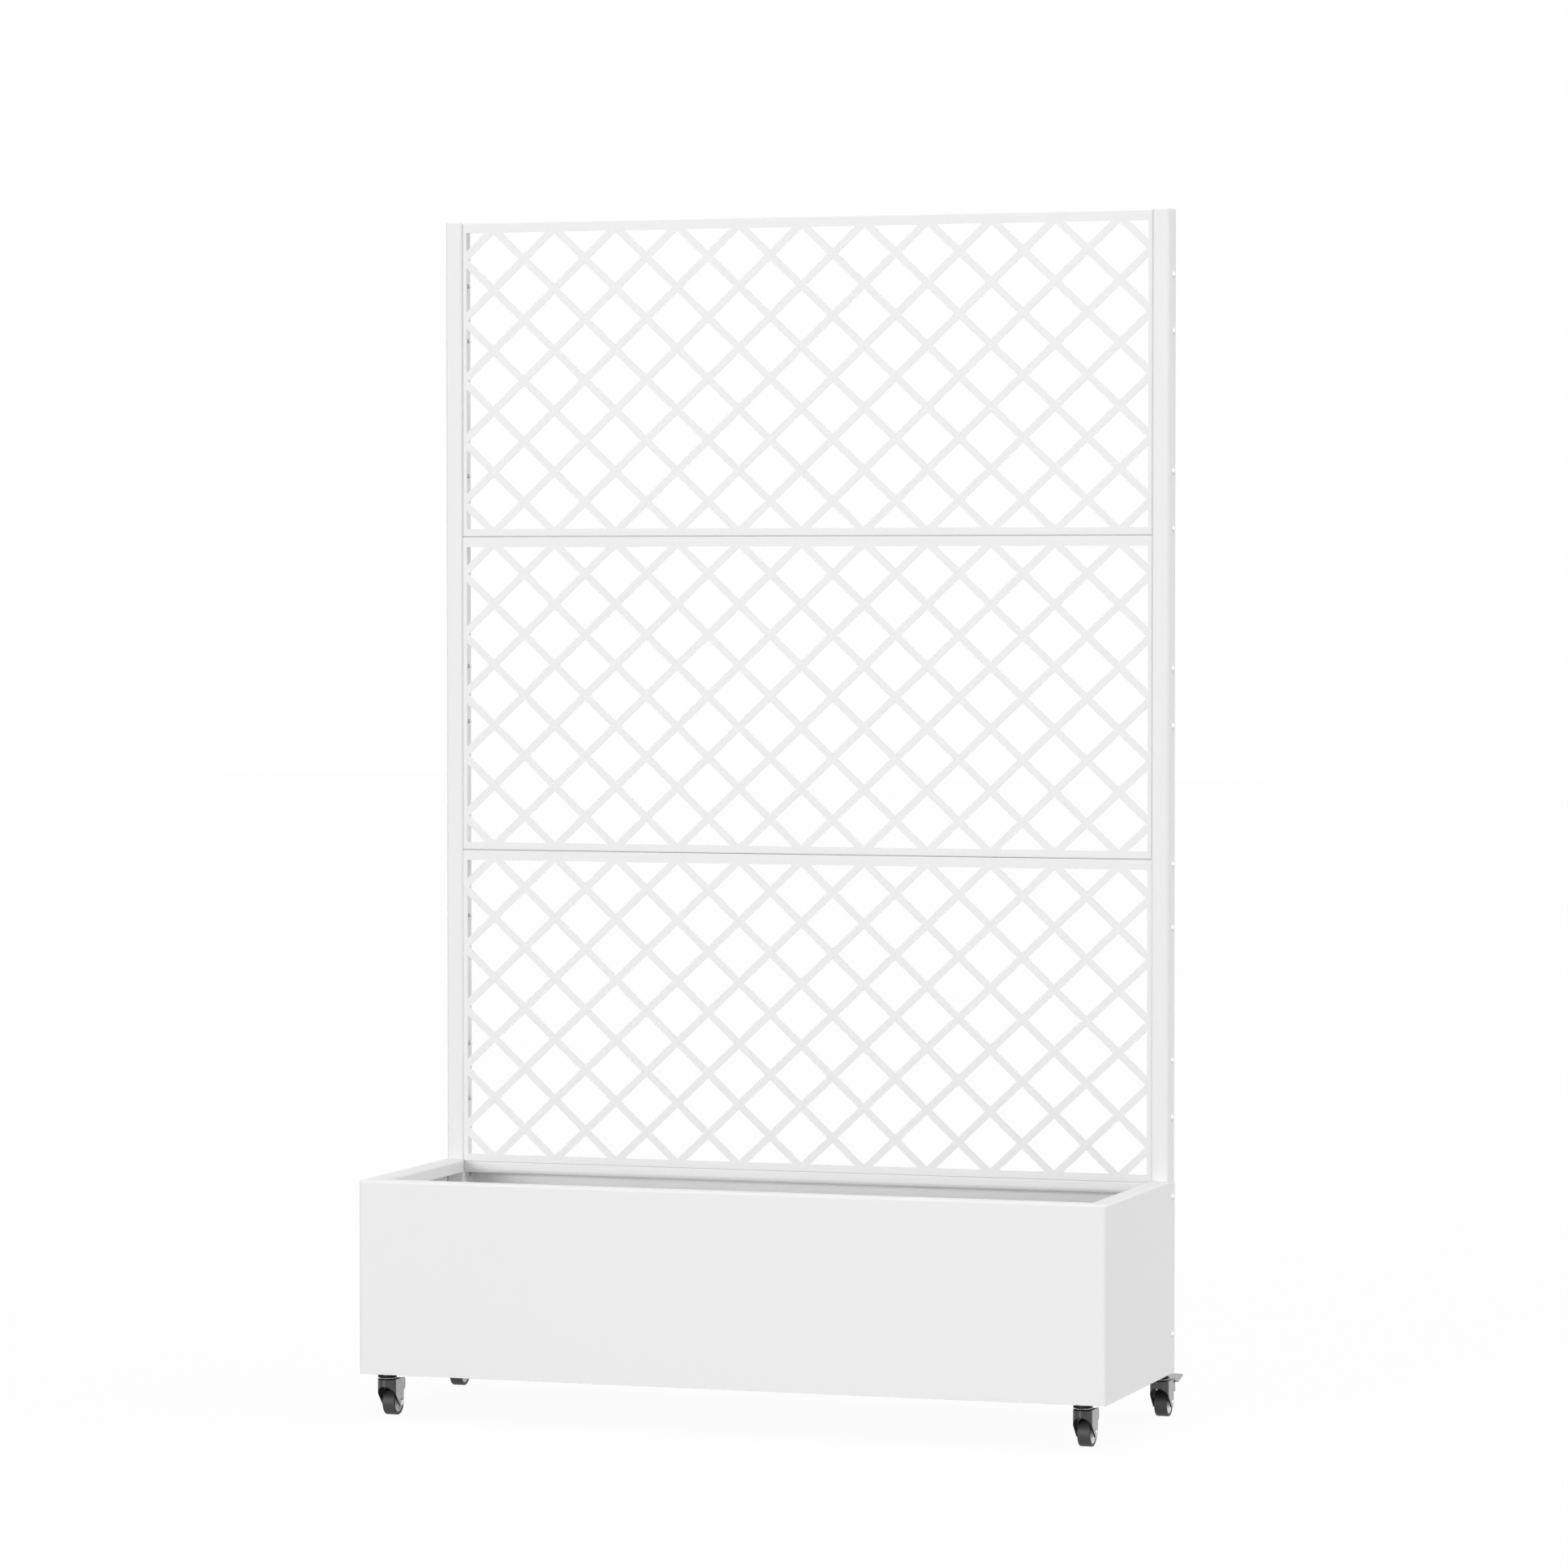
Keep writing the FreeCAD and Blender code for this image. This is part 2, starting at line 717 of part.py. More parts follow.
def brake_shoe():
    """Plated shoe under the pedal, hollowed to the tyre where it presses."""
    half = fork_inside - ear_clearance - ear_sheet
    points = [
        Vector(-half, shoe_front, brake_pin_level - ear_radius - running_gap),
        Vector(-half, pedal_start, brake_pin_level - ear_radius - running_gap),
    ]
    points.append(pedal_line(ear_length, 0) - RIGHT * half)
    points.append(points[-1] - UP * shoe_drop)
    points.append(Vector(-half, points[-1].y, brake_pin_level - shoe_tab_drop))
    points.append(points[-1] - REAR * shoe_tab_thickness)
    points.append(Vector(-half, shoe_front, brake_pin_level - shoe_drop))
    block_shape = Part.Face(Part.makePolygon(points + points[:1])).extrude(RIGHT * (2 * half))
    tyre_room = Part.makeCylinder(
        wheel_radius + shoe_gap, 2 * fork_half_width,
        Vector(-fork_half_width, caster_trail, axle_level), RIGHT,
    )
    pin = Vector(0, brake_pin_setback, brake_pin_level)
    tyre_room.rotate(pin, RIGHT, brake_travel_degrees)
    return one_solid(block_shape.cut(tyre_room))


# Writing the pieces

def write(node, shapes):
    """Save one node: a single piece, or a group of like pieces."""
    group = shapes if isinstance(shapes, list) else [shapes]
    moved = [shape.translated(row_shift) for shape in group]
    result = moved[0] if len(moved) == 1 else Part.makeCompound(moved)
    result.exportStep(os.path.join("parts", node + ".step"))


def write_pair(name, shapes):
    """Save a right-hand node and its mirror image on the left."""
    group = shapes if isinstance(shapes, list) else [shapes]
    write("right_" + name, group)
    write("left_" + name, [mirrored_pair(shape)[1] for shape in group])


def write_caster(name, place):
    """Save the turning pieces of one caster and print its joint places."""
    x, y = place
    here = Vector(x, y, 0)
    braked = name.startswith("rear")
    pieces = {"fork": caster_fork(braked)}
    pieces.update(wheel_pieces())
    joints = {"swivel": Vector(0, 0, crown_level), "wheel": Vector(0, caster_trail, axle_level)}
    if braked:
        pieces.update({"brake_pin": brake_pin(), "brake_pedal": brake_pedal(), "brake_shoe": brake_shoe()})
        joints["brake"] = Vector(0, brake_pin_setback, brake_pin_level)
    for piece, shape in pieces.items():
        write(name + "_" + piece, shape.translated(here))
    for joint, centre in joints.items():
        at = centre + here + row_shift
        print(name, joint, "joint at", [round(value, 3) for value in at])


def main():
    os.makedirs("parts", exist_ok=True)
    write("planter_shell", planter_shell())
    write("rear_panel", rear_panel())
    write("floor_tray", floor_tray())
    front_edge = front_rail_inset - half_depth
    rear_edge = rear_caster_place - rail_width / 2
    places = list(caster_places.values())
    write("front_rail", caster_rail(front_edge, [at for at in places if at[1] < 0]))
    write("rear_rail", caster_rail(rear_edge, [at for at in places if at[1] > 0]))
    write_pair("post", post())
    write_pair("post_cap", post_cap())
    screen_bolts, box_bolts = side_bolts()
    write_pair("screen_bolts", screen_bolts)
    write_pair("box_bolts", box_bolts)
    for number, name in enumerate(panel_names):
        write(name, trellis_panel(rear_rim_level + number * panel_pitch))
    write("caster_stems", [caster_stem(x, y) for x, y in places])
    write("stem_nuts", [stem_nut(x, y) for x, y in places])
    write("swivel_races", [
        bearing_ring(x, y, top_race_radius, king_pin_radius, top_race_foot, top_race_height)
        for x, y in places
    ])
    for name, place in caster_places.items():
        write_caster(name, place)


main()
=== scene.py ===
"""Privacy screen planter: finishes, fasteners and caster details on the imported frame."""

import json
import math

import bpy
from bpy.props import FloatProperty, FloatVectorProperty, IntProperty, PointerProperty
from bpy.types import Operator, Panel, PropertyGroup
from mathutils import Matrix, Vector


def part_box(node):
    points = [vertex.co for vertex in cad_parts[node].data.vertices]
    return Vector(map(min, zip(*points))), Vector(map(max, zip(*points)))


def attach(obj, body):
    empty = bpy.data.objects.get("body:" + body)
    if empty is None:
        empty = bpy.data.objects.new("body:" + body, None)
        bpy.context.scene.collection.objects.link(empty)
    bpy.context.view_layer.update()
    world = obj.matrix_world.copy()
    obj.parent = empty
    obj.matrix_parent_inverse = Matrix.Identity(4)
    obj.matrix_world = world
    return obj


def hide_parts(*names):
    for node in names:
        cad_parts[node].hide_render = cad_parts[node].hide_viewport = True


bl_info = {
    "name": "Screen planter",
    "version": (1, 0, 0),
    "blender": (4, 5, 0),
    "location": "View3D > Sidebar > Planter",
    "description": "Dresses a planter with a trellis screen and casters",
    "category": "Object",
}

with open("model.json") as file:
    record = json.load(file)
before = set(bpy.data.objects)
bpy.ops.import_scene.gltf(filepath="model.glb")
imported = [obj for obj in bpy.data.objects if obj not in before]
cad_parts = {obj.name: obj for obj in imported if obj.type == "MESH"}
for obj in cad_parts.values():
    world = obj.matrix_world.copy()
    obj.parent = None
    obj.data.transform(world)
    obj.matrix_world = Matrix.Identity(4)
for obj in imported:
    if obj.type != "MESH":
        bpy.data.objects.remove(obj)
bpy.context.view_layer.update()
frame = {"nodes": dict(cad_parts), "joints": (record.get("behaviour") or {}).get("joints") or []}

BODY = "planter"
CASTERS = ("front_left", "front_right", "rear_left", "rear_right")
SCREENS = ("lower_trellis_panel", "middle_trellis_panel", "upper_trellis_panel")
JOINTS = {joint["name"]: Vector(joint["pos_m"]) for joint in frame["joints"]}
UP = Vector((0, 0, 1))
RIGHT = Vector((1, 0, 0))
SAME_POINT = 1e-5  # points closer than this are one
ON_FACE = 1e-4  # points closer than this to a face lie on it
SHEET_REACH = 0.0013  # a little more than the thickness of the sheet
NOISE_LOW, NOISE_HIGH = 0.3, 0.7  # range that most of the noise lies in


# Settings that a user would change

class PaintSettings(PropertyGroup):
    """Powder coat and sheet edges of the box, posts and screens."""

    colour: FloatVectorProperty(
        name="Paint", description="Powder coat of the box, posts and screens",
        subtype="COLOR", size=3, min=0, max=1, default=(0.84, 0.84, 0.84),
    )
    roughness: FloatProperty(
        name="Roughness", description="Roughness of the powder coat",
        subtype="FACTOR", min=0, max=1, default=0.46,
    )
    grain: FloatProperty(
        name="Grain", description="Size of the fine grain in the powder coat",
        unit="LENGTH", min=0.0002, max=0.01, default=0.0014,
    )
    sheet_edge: FloatProperty(
        name="Sheet edge", description="Rounding that paint gives to a cut sheet edge",
        unit="LENGTH", min=0.0001, max=0.0006, default=0.00035,
    )
    cut_edge: FloatProperty(
        name="Cut edge", description="Rounding of the edges of the lattice's bars",
        unit="LENGTH", min=0.0001, max=0.0006, default=0.00015,
    )
    cap_edge: FloatProperty(
        name="Cap edge", description="Rounding of the edges of a post's cap",
        unit="LENGTH", min=0.0001, max=0.001, default=0.0008,
    )
    screen_fold: FloatProperty(
        name="Screen fold", description="Outer radius of the folds round a screen's face",
        unit="LENGTH", min=0.0005, max=0.004, default=0.0018,
    )
    screen_seam: FloatProperty(
        name="Screen seam", description="Gap that paint leaves between two screens",
        unit="LENGTH", min=0.0001, max=0.002, default=0.0003,
    )
    bar_gain: FloatProperty(
        name="Bar gain", description="Width that each edge of a lattice bar gains",
        unit="LENGTH", min=0, max=0.001, default=0.0004,
    )
    screen_reach: FloatProperty(
        name="Screen reach",
        description="How far a screen's face comes forward between the posts",
        unit="LENGTH", min=0, max=0.004, default=0.0024,
    )
    flange_cut: FloatProperty(
        name="Flange cut",
        description="How much shorter a screen's flanges are towards the rear",
        unit="LENGTH", min=0, max=0.006, default=0.0056,
    )
    hole_drop: FloatProperty(
        name="Hole drop",
        description="How far the lattice's holes lie below the middle of a screen",
        unit="LENGTH", min=0, max=0.003, default=0.002,
    )
    rim_reach: FloatProperty(
        name="Rim reach",
        description="How far the fold of the rear rim stands out in front of the screens",
        unit="LENGTH", min=0, max=0.005, default=0.003,
    )


class FastenerSettings(PropertyGroup):
    """Bolts and the plated steel on the casters."""

    zinc: FloatVectorProperty(
        name="Zinc", description="Bright zinc plate on bolts, stems and rivets",
        subtype="COLOR", size=3, min=0, max=1, default=(0.66, 0.67, 0.68),
    )
    zinc_roughness: FloatProperty(
        name="Zinc roughness", description="Roughness of the zinc plate",
        subtype="FACTOR", min=0, max=1, default=0.3,
    )
    head_radius: FloatProperty(
        name="Head radius", description="Radius of a bolt's domed head",
        unit="LENGTH", min=0.003, max=0.01, default=0.006,
    )
    head_height: FloatProperty(
        name="Head height", description="Height of a bolt's domed head",
        unit="LENGTH", min=0.001, max=0.005, default=0.0029,
    )
    neck_length: FloatProperty(
        name="Neck length", description="Length of the square neck under a bolt's head",
        unit="LENGTH", min=0.001, max=0.01, default=0.0045,
    )
    shank_radius: FloatProperty(
        name="Shank radius", description="Radius of a bolt's round shank",
        unit="LENGTH", min=0.001, max=0.005, default=0.0029,
    )


class CasterSettings(PropertyGroup):
    """Casters, their wheels and brakes."""

    # The fork's colour is a darker copy of its plate: painted shade on the nose and edges.
    fork_shade_colour: FloatVectorProperty(
        name="Fork", description="Dark nickel plate of the fork",
        subtype="COLOR", size=3, min=0, max=1, default=(0.075, 0.075, 0.077),
    )
    # The cheek's colour is a lighter copy of the fork's plate: painted light on the flat sides.
    cheek_light_colour: FloatVectorProperty(
        name="Cheek", description="Brushed nickel plate on the flat sides of the fork",
        subtype="COLOR", size=3, min=0, max=1, default=(0.36, 0.36, 0.363),
    )
    # This black also paints the shade on the inside of each fork.
    race_and_shade_colour: FloatVectorProperty(
        name="Race", description="Black finish of the swivel races",
        subtype="COLOR", size=3, min=0, max=1, default=(0.012, 0.012, 0.012),
    )
    tyre_colour: FloatVectorProperty(
        name="Tyre", description="Rubber of the tyre",
        subtype="COLOR", size=3, min=0, max=1, default=(0.035, 0.035, 0.036),
    )
    hub_colour: FloatVectorProperty(
        name="Hub", description="Moulded hub of the wheel",
        subtype="COLOR", size=3, min=0, max=1, default=(0.9, 0.9, 0.89),
    )
    pedal_colour: FloatVectorProperty(
        name="Pedal", description="Plated steel of the brake pedal",
        subtype="COLOR", size=3, min=0, max=1, default=(0.38, 0.38, 0.38),
    )
    shoe_colour: FloatVectorProperty(
        name="Shoe", description="Green-tinted zinc of the brake shoe",
        subtype="COLOR", size=3, min=0, max=1, default=(0.28, 0.33, 0.31),
    )
    ball_radius: FloatProperty(
        name="Ball radius", description="Radius of a bearing ball",
        unit="LENGTH", min=0.0005, max=0.003, default=0.00115,
    )
    ball_circle: FloatProperty(
        name="Ball circle", description="Radius of the circle that the ball centres lie on",
        unit="LENGTH", min=0.005, max=0.03, default=0.0126,
    )
    ball_count: IntProperty(
        name="Balls", description="Number of balls in a swivel bearing",
        min=6, max=40, default=24,
    )
    tread_rounding: FloatProperty(
        name="Tread rounding", description="Rounding of the tyre's shoulders",
        unit="LENGTH", min=0.0005, max=0.006, default=0.0018,
    )
    nose_drop: FloatProperty(
        name="Nose drop", description="Height of a fork's plate at its very front",
        unit="LENGTH", min=0.006, max=0.012, default=0.0098,
    )
    cheek_fold: FloatProperty(
        name="Cheek fold", description="Rounding of the rear corners of a fork's cheeks",
        unit="LENGTH", min=0.0005, max=0.008, default=0.0045,
    )
    steel_edge: FloatProperty(
        name="Pressed edge", description="Rounding of a pressed steel edge",
        unit="LENGTH", min=0.0001, max=0.001, default=0.0005,
    )
    lug_height: FloatProperty(
        name="Lug height", description="Height of the lug that holds the brake's hinge pin",
        unit="LENGTH", min=0.007, max=0.012, default=0.0092,
    )
    shoe_reach: FloatProperty(
        name="Shoe reach", description="How far the brake shoe is drawn out to the rear",
        unit="LENGTH", min=0, max=0.01, default=0.007,
    )


class StageSettings(PropertyGroup):
    """Camera, lamps and floor."""

    camera_place: FloatVectorProperty(
        name="Camera", description="Place of the camera",
        subtype="TRANSLATION", size=3, default=(2.9136, -8.8359, 1.2907),
    )
    camera_turn: FloatProperty(
        name="Camera turn", description="Turn of the camera about the vertical",
        unit="ROTATION", default=math.radians(18.12),
    )
    camera_drop: FloatProperty(
        name="Camera drop", description="How far the camera looks down",
        unit="ROTATION", default=math.radians(1.89),
    )
    lens: FloatProperty(
        name="Lens", description="Focal length on a 36 mm sensor, in millimetres",
        min=20, max=300, default=137.55,
    )
    sky: FloatProperty(
        name="Sky", description="Strength of the even studio light",
        min=0, max=2, default=0.2,
    )
    key: FloatProperty(
        name="Key", description="Strength of the lamp at the front left",
        min=0, max=5, default=1.51,
    )
    key_turn: FloatProperty(
        name="Key turn", description="Turn of the key lamp from the front towards the left",
        unit="ROTATION", default=math.radians(18),
    )
    key_height: FloatProperty(
        name="Key height", description="Angle of the key lamp above the horizon",
        unit="ROTATION", default=math.radians(8),
    )
    fill: FloatProperty(
        name="Fill", description="Strength of the lamp at the right",
        min=0, max=5, default=0.98,
    )
    fill_turn: FloatProperty(
        name="Fill turn", description="Turn of the fill lamp from the front towards the right",
        unit="ROTATION", default=math.radians(76),
    )
    fill_height: FloatProperty(
        name="Fill height", description="Angle of the fill lamp above the horizon",
        unit="ROTATION", default=math.radians(20),
    )
    back: FloatProperty(
        name="Back", description="Strength of the lamp at the right and the rear",
        min=0, max=5, default=0.59,
    )
    back_turn: FloatProperty(
        name="Back turn", description="Turn of the back lamp from the front towards the right",
        unit="ROTATION", default=math.radians(115),
    )
    overhead: FloatProperty(
        name="Overhead", description="Strength of the lamp above",
        min=0, max=5, default=1.44,
    )
    key_softness: FloatProperty(
        name="Key softness", description="Spread of the key lamp, which softens its shadow",
        unit="ROTATION", default=math.radians(16),
    )
    softness: FloatProperty(
        name="Softness", description="Spread of the other lamps, which softens their shadows",
        unit="ROTATION", default=math.radians(50),
    )
    floor_size: FloatProperty(
        name="Floor", description="Side of the floor", unit="LENGTH", min=5, default=60,
    )
    floor_colour: FloatVectorProperty(
        name="Floor colour", description="Colour with which the floor throws light back",
        subtype="COLOR", size=3, min=0, max=1, default=(0.56, 0.56, 0.56),
    )
    floor_glow: FloatProperty(
        name="Floor glow", description="Share of the floor that is plain white to the camera",
        subtype="FACTOR", min=0, max=1, default=0.94,
    )


# Finishes

def new_finish(name):
    """A material with its node tree and its shader."""
    material = bpy.data.materials.new(name)
    material.use_nodes = True
    return material, material.node_tree, material.node_tree.nodes["Principled BSDF"]


def object_noise(tree, size, detail=3.0):
    """Noise on the piece's own coordinates, with features of the size given."""
    place = tree.nodes.new("ShaderNodeTexCoord")
    noise = tree.nodes.new("ShaderNodeTexNoise")
    noise.inputs["Scale"].default_value = 1 / size
    noise.inputs["Detail"].default_value = detail
    tree.links.new(place.outputs["Object"], noise.inputs["Vector"])
    return noise


def spread_roughness(tree, shader, noise, low, high):
    """Roughness that varies with the noise."""
    spread = tree.nodes.new("ShaderNodeMapRange")
    spread.inputs["From Min"].default_value = NOISE_LOW
    spread.inputs["From Max"].default_value = NOISE_HIGH
    spread.inputs["To Min"].default_value = low
    spread.inputs["To Max"].default_value = high
    tree.links.new(noise.outputs["Fac"], spread.inputs["Value"])
    tree.links.new(spread.outputs["Result"], shader.inputs["Roughness"])


def spread_colour(tree, shader, noise, colour, change):
    """Colour that varies a little to both sides of the one given."""
    ramp = tree.nodes.new("ShaderNodeValToRGB")
    low, high = ramp.color_ramp.elements
    low.position, high.position = NOISE_LOW, NOISE_HIGH
    low.color = [part * (1 - change) for part in colour] + [1]
    high.color = [min(1, part * (1 + change)) for part in colour] + [1]
    tree.links.new(noise.outputs["Fac"], ramp.inputs["Fac"])
    tree.links.new(ramp.outputs["Color"], shader.inputs["Base Color"])


def bump(tree, shader, noise, strength, height):
    """Surface relief from the noise."""
    relief = tree.nodes.new("ShaderNodeBump")
    relief.inputs["Strength"].default_value = strength
    relief.inputs["Distance"].default_value = height
    tree.links.new(noise.outputs["Fac"], relief.inputs["Height"])
    tree.links.new(relief.outputs["Normal"], shader.inputs["Normal"])


def finish(name, colour, change, metallic, roughness, grain, cloud, relief):
    """Finish with a fine grain in its relief and a broad cloud in its colour."""
    if name in bpy.data.materials:
        return bpy.data.materials[name]
    low_share, high_share = 0.88, 1.12
    grain_depth = grain / 12
    material, tree, shader = new_finish(name)
    shader.inputs["Metallic"].default_value = metallic
    fine = object_noise(tree, grain)
    broad = object_noise(tree, cloud, detail=4.0)
    spread_colour(tree, shader, broad, colour, change)
    spread_roughness(
        tree, shader, fine, roughness * low_share, min(1, roughness * high_share),
    )
    bump(tree, shader, fine, relief, grain_depth)
    return material


def powder_coat():
    """Satin powder coat of the box, posts and screens."""
    paint = bpy.context.scene.planter_paint
    return finish(
        "powder coat", paint.colour, change=0.006, metallic=0,
        roughness=paint.roughness, grain=paint.grain, cloud=0.35, relief=0.05,
    )


def cap_plastic():
    """Moulded plastic of the posts' caps, in the colour of the paint."""
    paint = bpy.context.scene.planter_paint
    return finish(
        "cap plastic", paint.colour, change=0.004, metallic=0,
        roughness=0.38, grain=0.0006, cloud=0.02, relief=0.08,
    )


def bright_zinc():
    """Bright zinc plate of the bolts, stems, nuts, rivets and balls."""
    fasteners = bpy.context.scene.planter_fasteners
    return finish(
        "bright zinc", fasteners.zinc, change=0.08, metallic=1,
        roughness=fasteners.zinc_roughness, grain=0.0005, cloud=0.006, relief=0.1,
    )


def nickel_painted_shade():
    """Painted shade on a fork's nose and edges: a darker copy of its nickel plate."""
    casters = bpy.context.scene.planter_casters
    return finish(
        "nickel painted shade", casters.fork_shade_colour, change=0.08, metallic=1,
        roughness=0.24, grain=0.0006, cloud=0.012, relief=0.08,
    )


def nickel_painted_light():
    """Painted light on a fork's flat sides: a lighter copy of its nickel plate."""
    casters = bpy.context.scene.planter_casters
    return finish(
        "nickel painted light", casters.cheek_light_colour, change=0.06, metallic=1,
        roughness=0.34, grain=0.0006, cloud=0.012, relief=0.08,
    )


def black_oxide_and_painted_shade():
    """Black finish of the races and the hinge pins, and painted shade on the inside of a fork."""
    casters = bpy.context.scene.planter_casters
    return finish(
        "black oxide and painted shade", casters.race_and_shade_colour, change=0.2, metallic=1,
        roughness=0.42, grain=0.0005, cloud=0.01, relief=0.1,
    )


def tyre_rubber():
    """Dark rubber of the tyres."""
    casters = bpy.context.scene.planter_casters
    return finish(
        "tyre rubber", casters.tyre_colour, change=0.12, metallic=0,
        roughness=0.55, grain=0.0007, cloud=0.01, relief=0.25,
    )


def hub_plastic():
    """Pale moulded plastic of the hubs."""
    casters = bpy.context.scene.planter_casters
    return finish(
        "hub plastic", casters.hub_colour, change=0.015, metallic=0,
        roughness=0.36, grain=0.0006, cloud=0.01, relief=0.06,
    )


def pedal_plate():
    """Plated steel of the brake pedals."""
    casters = bpy.context.scene.planter_casters
    return finish(
        "pedal plate", casters.pedal_colour, change=0.06, metallic=1,
        roughness=0.34, grain=0.0006, cloud=0.01, relief=0.1,
    )


def shoe_plate():
    """Green-tinted zinc of the brake shoes."""
    casters = bpy.context.scene.planter_casters
    return finish(
        "shoe plate", casters.shoe_colour, change=0.08, metallic=1,
        roughness=0.36, grain=0.0006, cloud=0.008, relief=0.12,
    )


# Work on one piece

def only(piece):
    """Make a piece the only one that is selected."""
    bpy.ops.object.select_all(action="DESELECT")
    piece.select_set(True)
    bpy.context.view_layer.objects.active = piece


def apply_place(piece):
    """Move a piece's place into its mesh."""
    only(piece)
    bpy.ops.object.transform_apply(location=True, rotation=True, scale=True)


def apply_modifier(piece, kind, **values):
    """Add a modifier with its values and apply it."""
    only(piece)
    modifier = piece.modifiers.new(kind.title(), kind)
    for name, value in values.items():
        setattr(modifier, name, value)
    bpy.ops.object.modifier_apply(modifier=modifier.name)


def round_edges(piece, width, segments=2, angle=40):
    """Round every edge that is sharper than the angle."""
    apply_modifier(
        piece, "BEVEL", width=width, segments=segments, limit_method="ANGLE",
        angle_limit=math.radians(angle), use_clamp_overlap=True,
    )


def smooth(piece, angle=38):
    """Shade the curves smooth and keep the flats flat."""
    only(piece)
    bpy.ops.object.shade_smooth_by_angle(angle=math.radians(angle))
    apply_modifier(piece, "WEIGHTED_NORMAL", weight=60, keep_sharp=True)


def pick_edges(piece, test, pair=None):
    """Open a piece with the edges selected whose ends pass both tests.

    The first test takes each end by itself, the other takes the pair.
    """
    only(piece)
    bpy.ops.object.mode_set(mode="EDIT")
    bpy.ops.mesh.select_mode(type="EDGE")
    bpy.ops.mesh.select_all(action="DESELECT")
    bpy.ops.object.mode_set(mode="OBJECT")
    points = piece.data.vertices
    for edge in piece.data.edges:
        ends = [points[end].co for end in edge.vertices]
        edge.select = all(test(end) for end in ends) and (pair is None or pair(*ends))
    bpy.ops.object.mode_set(mode="EDIT")


def merged_copy(node, name):
    """Copy of a solid as one closed mesh, with its flats merged."""
    flat_angle = math.radians(0.5)
    piece = bpy.data.objects.new(name, frame["nodes"][node].data.copy())
    bpy.context.collection.objects.link(piece)
    only(piece)
    bpy.ops.mesh.customdata_custom_splitnormals_clear()
    bpy.ops.object.mode_set(mode="EDIT")
    bpy.ops.mesh.select_all(action="SELECT")
    bpy.ops.mesh.remove_doubles(threshold=SAME_POINT)
    bpy.ops.mesh.select_all(action="SELECT")
    bpy.ops.mesh.dissolve_limited(angle_limit=flat_angle)
    bpy.ops.object.mode_set(mode="OBJECT")
    return piece


def finished_copy(node, name, edge, segments=2):
    """Copy of a solid as one closed mesh, with its edges rounded."""
    piece = merged_copy(node, name)
    round_edges(piece, edge, segments)
    smooth(piece)
    return piece


def shift_points(piece, test, offset):
    """Move the stretches of a piece whose points pass the test."""
    pick_edges(piece, test)
    bpy.ops.transform.translate(value=offset)
    bpy.ops.object.mode_set(mode="OBJECT")


def solid_boxes(node):
    """Lowest and highest corner of each separate solid in a node."""
    piece = bpy.data.objects.new("loose", frame["nodes"][node].data.copy())
    bpy.context.collection.objects.link(piece)
    only(piece)
    bpy.ops.object.mode_set(mode="EDIT")
    bpy.ops.mesh.select_all(action="SELECT")
    bpy.ops.mesh.remove_doubles(threshold=SAME_POINT)
    bpy.ops.mesh.separate(type="LOOSE")
    bpy.ops.object.mode_set(mode="OBJECT")
    boxes = []
    for solid in list(bpy.context.selected_objects):
        corners = [Vector(corner) for corner in solid.bound_box]
        low = Vector([min(corner[axis] for corner in corners) for axis in range(3)])
        high = Vector([max(corner[axis] for corner in corners) for axis in range(3)])
        boxes.append((low, high))
        bpy.data.objects.remove(solid)
    return sorted(boxes, key=lambda box: tuple(box[0]))


def lathe(name, profile, centre, axis, steps=64, closed=True):
    """Turn a profile of (radius, place along the axis) points about an axis."""
    start_size, pole_reach = 0.001, 2e-6
    side = RIGHT if abs(axis.z) > 0.5 else UP
    points = [centre + side * radius + axis * place for radius, place in profile]
    stops = points[1:] + points[:1] if closed else points[1:]
    bpy.ops.object.select_all(action="DESELECT")
    bpy.ops.mesh.primitive_plane_add(size=start_size, location=points[0])
    piece = bpy.context.object
    piece.name = name
    apply_place(piece)
    bpy.ops.object.mode_set(mode="EDIT")
    bpy.ops.mesh.select_mode(type="VERT")
    bpy.ops.mesh.select_all(action="SELECT")
    bpy.ops.mesh.merge(type="CENTER")
    start = points[0]
    for stop in stops:
        step = {"value": stop - start}
        bpy.ops.mesh.extrude_region_move(TRANSFORM_OT_translate=step)
        start = stop
    bpy.ops.mesh.select_all(action="SELECT")
    bpy.ops.mesh.spin(steps=steps, angle=math.tau, center=centre, axis=axis)
    bpy.ops.mesh.select_all(action="SELECT")
    bpy.ops.mesh.remove_doubles(threshold=pole_reach)
    bpy.ops.mesh.select_all(action="SELECT")
    bpy.ops.mesh.normals_make_consistent(inside=False)
    bpy.ops.object.mode_set(mode="OBJECT")
    return piece


def mirrored_profile(half):
    """Profile from one end to the middle, and back along the other side."""
    return half + [(radius, -place) for radius, place in reversed(half)]


def copy_to(piece, name, offset):
    """Copy of a piece with its own mesh, moved by the offset."""
    twin = piece.copy()
    twin.data = piece.data.copy()
    twin.name = name
    bpy.context.collection.objects.link(twin)
    twin.location = offset
    apply_place(twin)
    return twin


def join(pieces, name):
    """Join pieces into one."""
    bpy.ops.object.select_all(action="DESELECT")
    for piece in pieces:
        piece.select_set(True)
    bpy.context.view_layer.objects.active = pieces[0]
    bpy.ops.object.join()
    pieces[0].name = name
    return pieces[0]


def dress(piece, body, slot, nodes, *finishes):
    """Give a finished piece its finishes and its body, and hide the nodes it stands for."""
    piece.data.materials.clear()
    for material in finishes:
        piece.data.materials.append(material)
    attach(piece, body)
    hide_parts(*nodes)


# Pieces

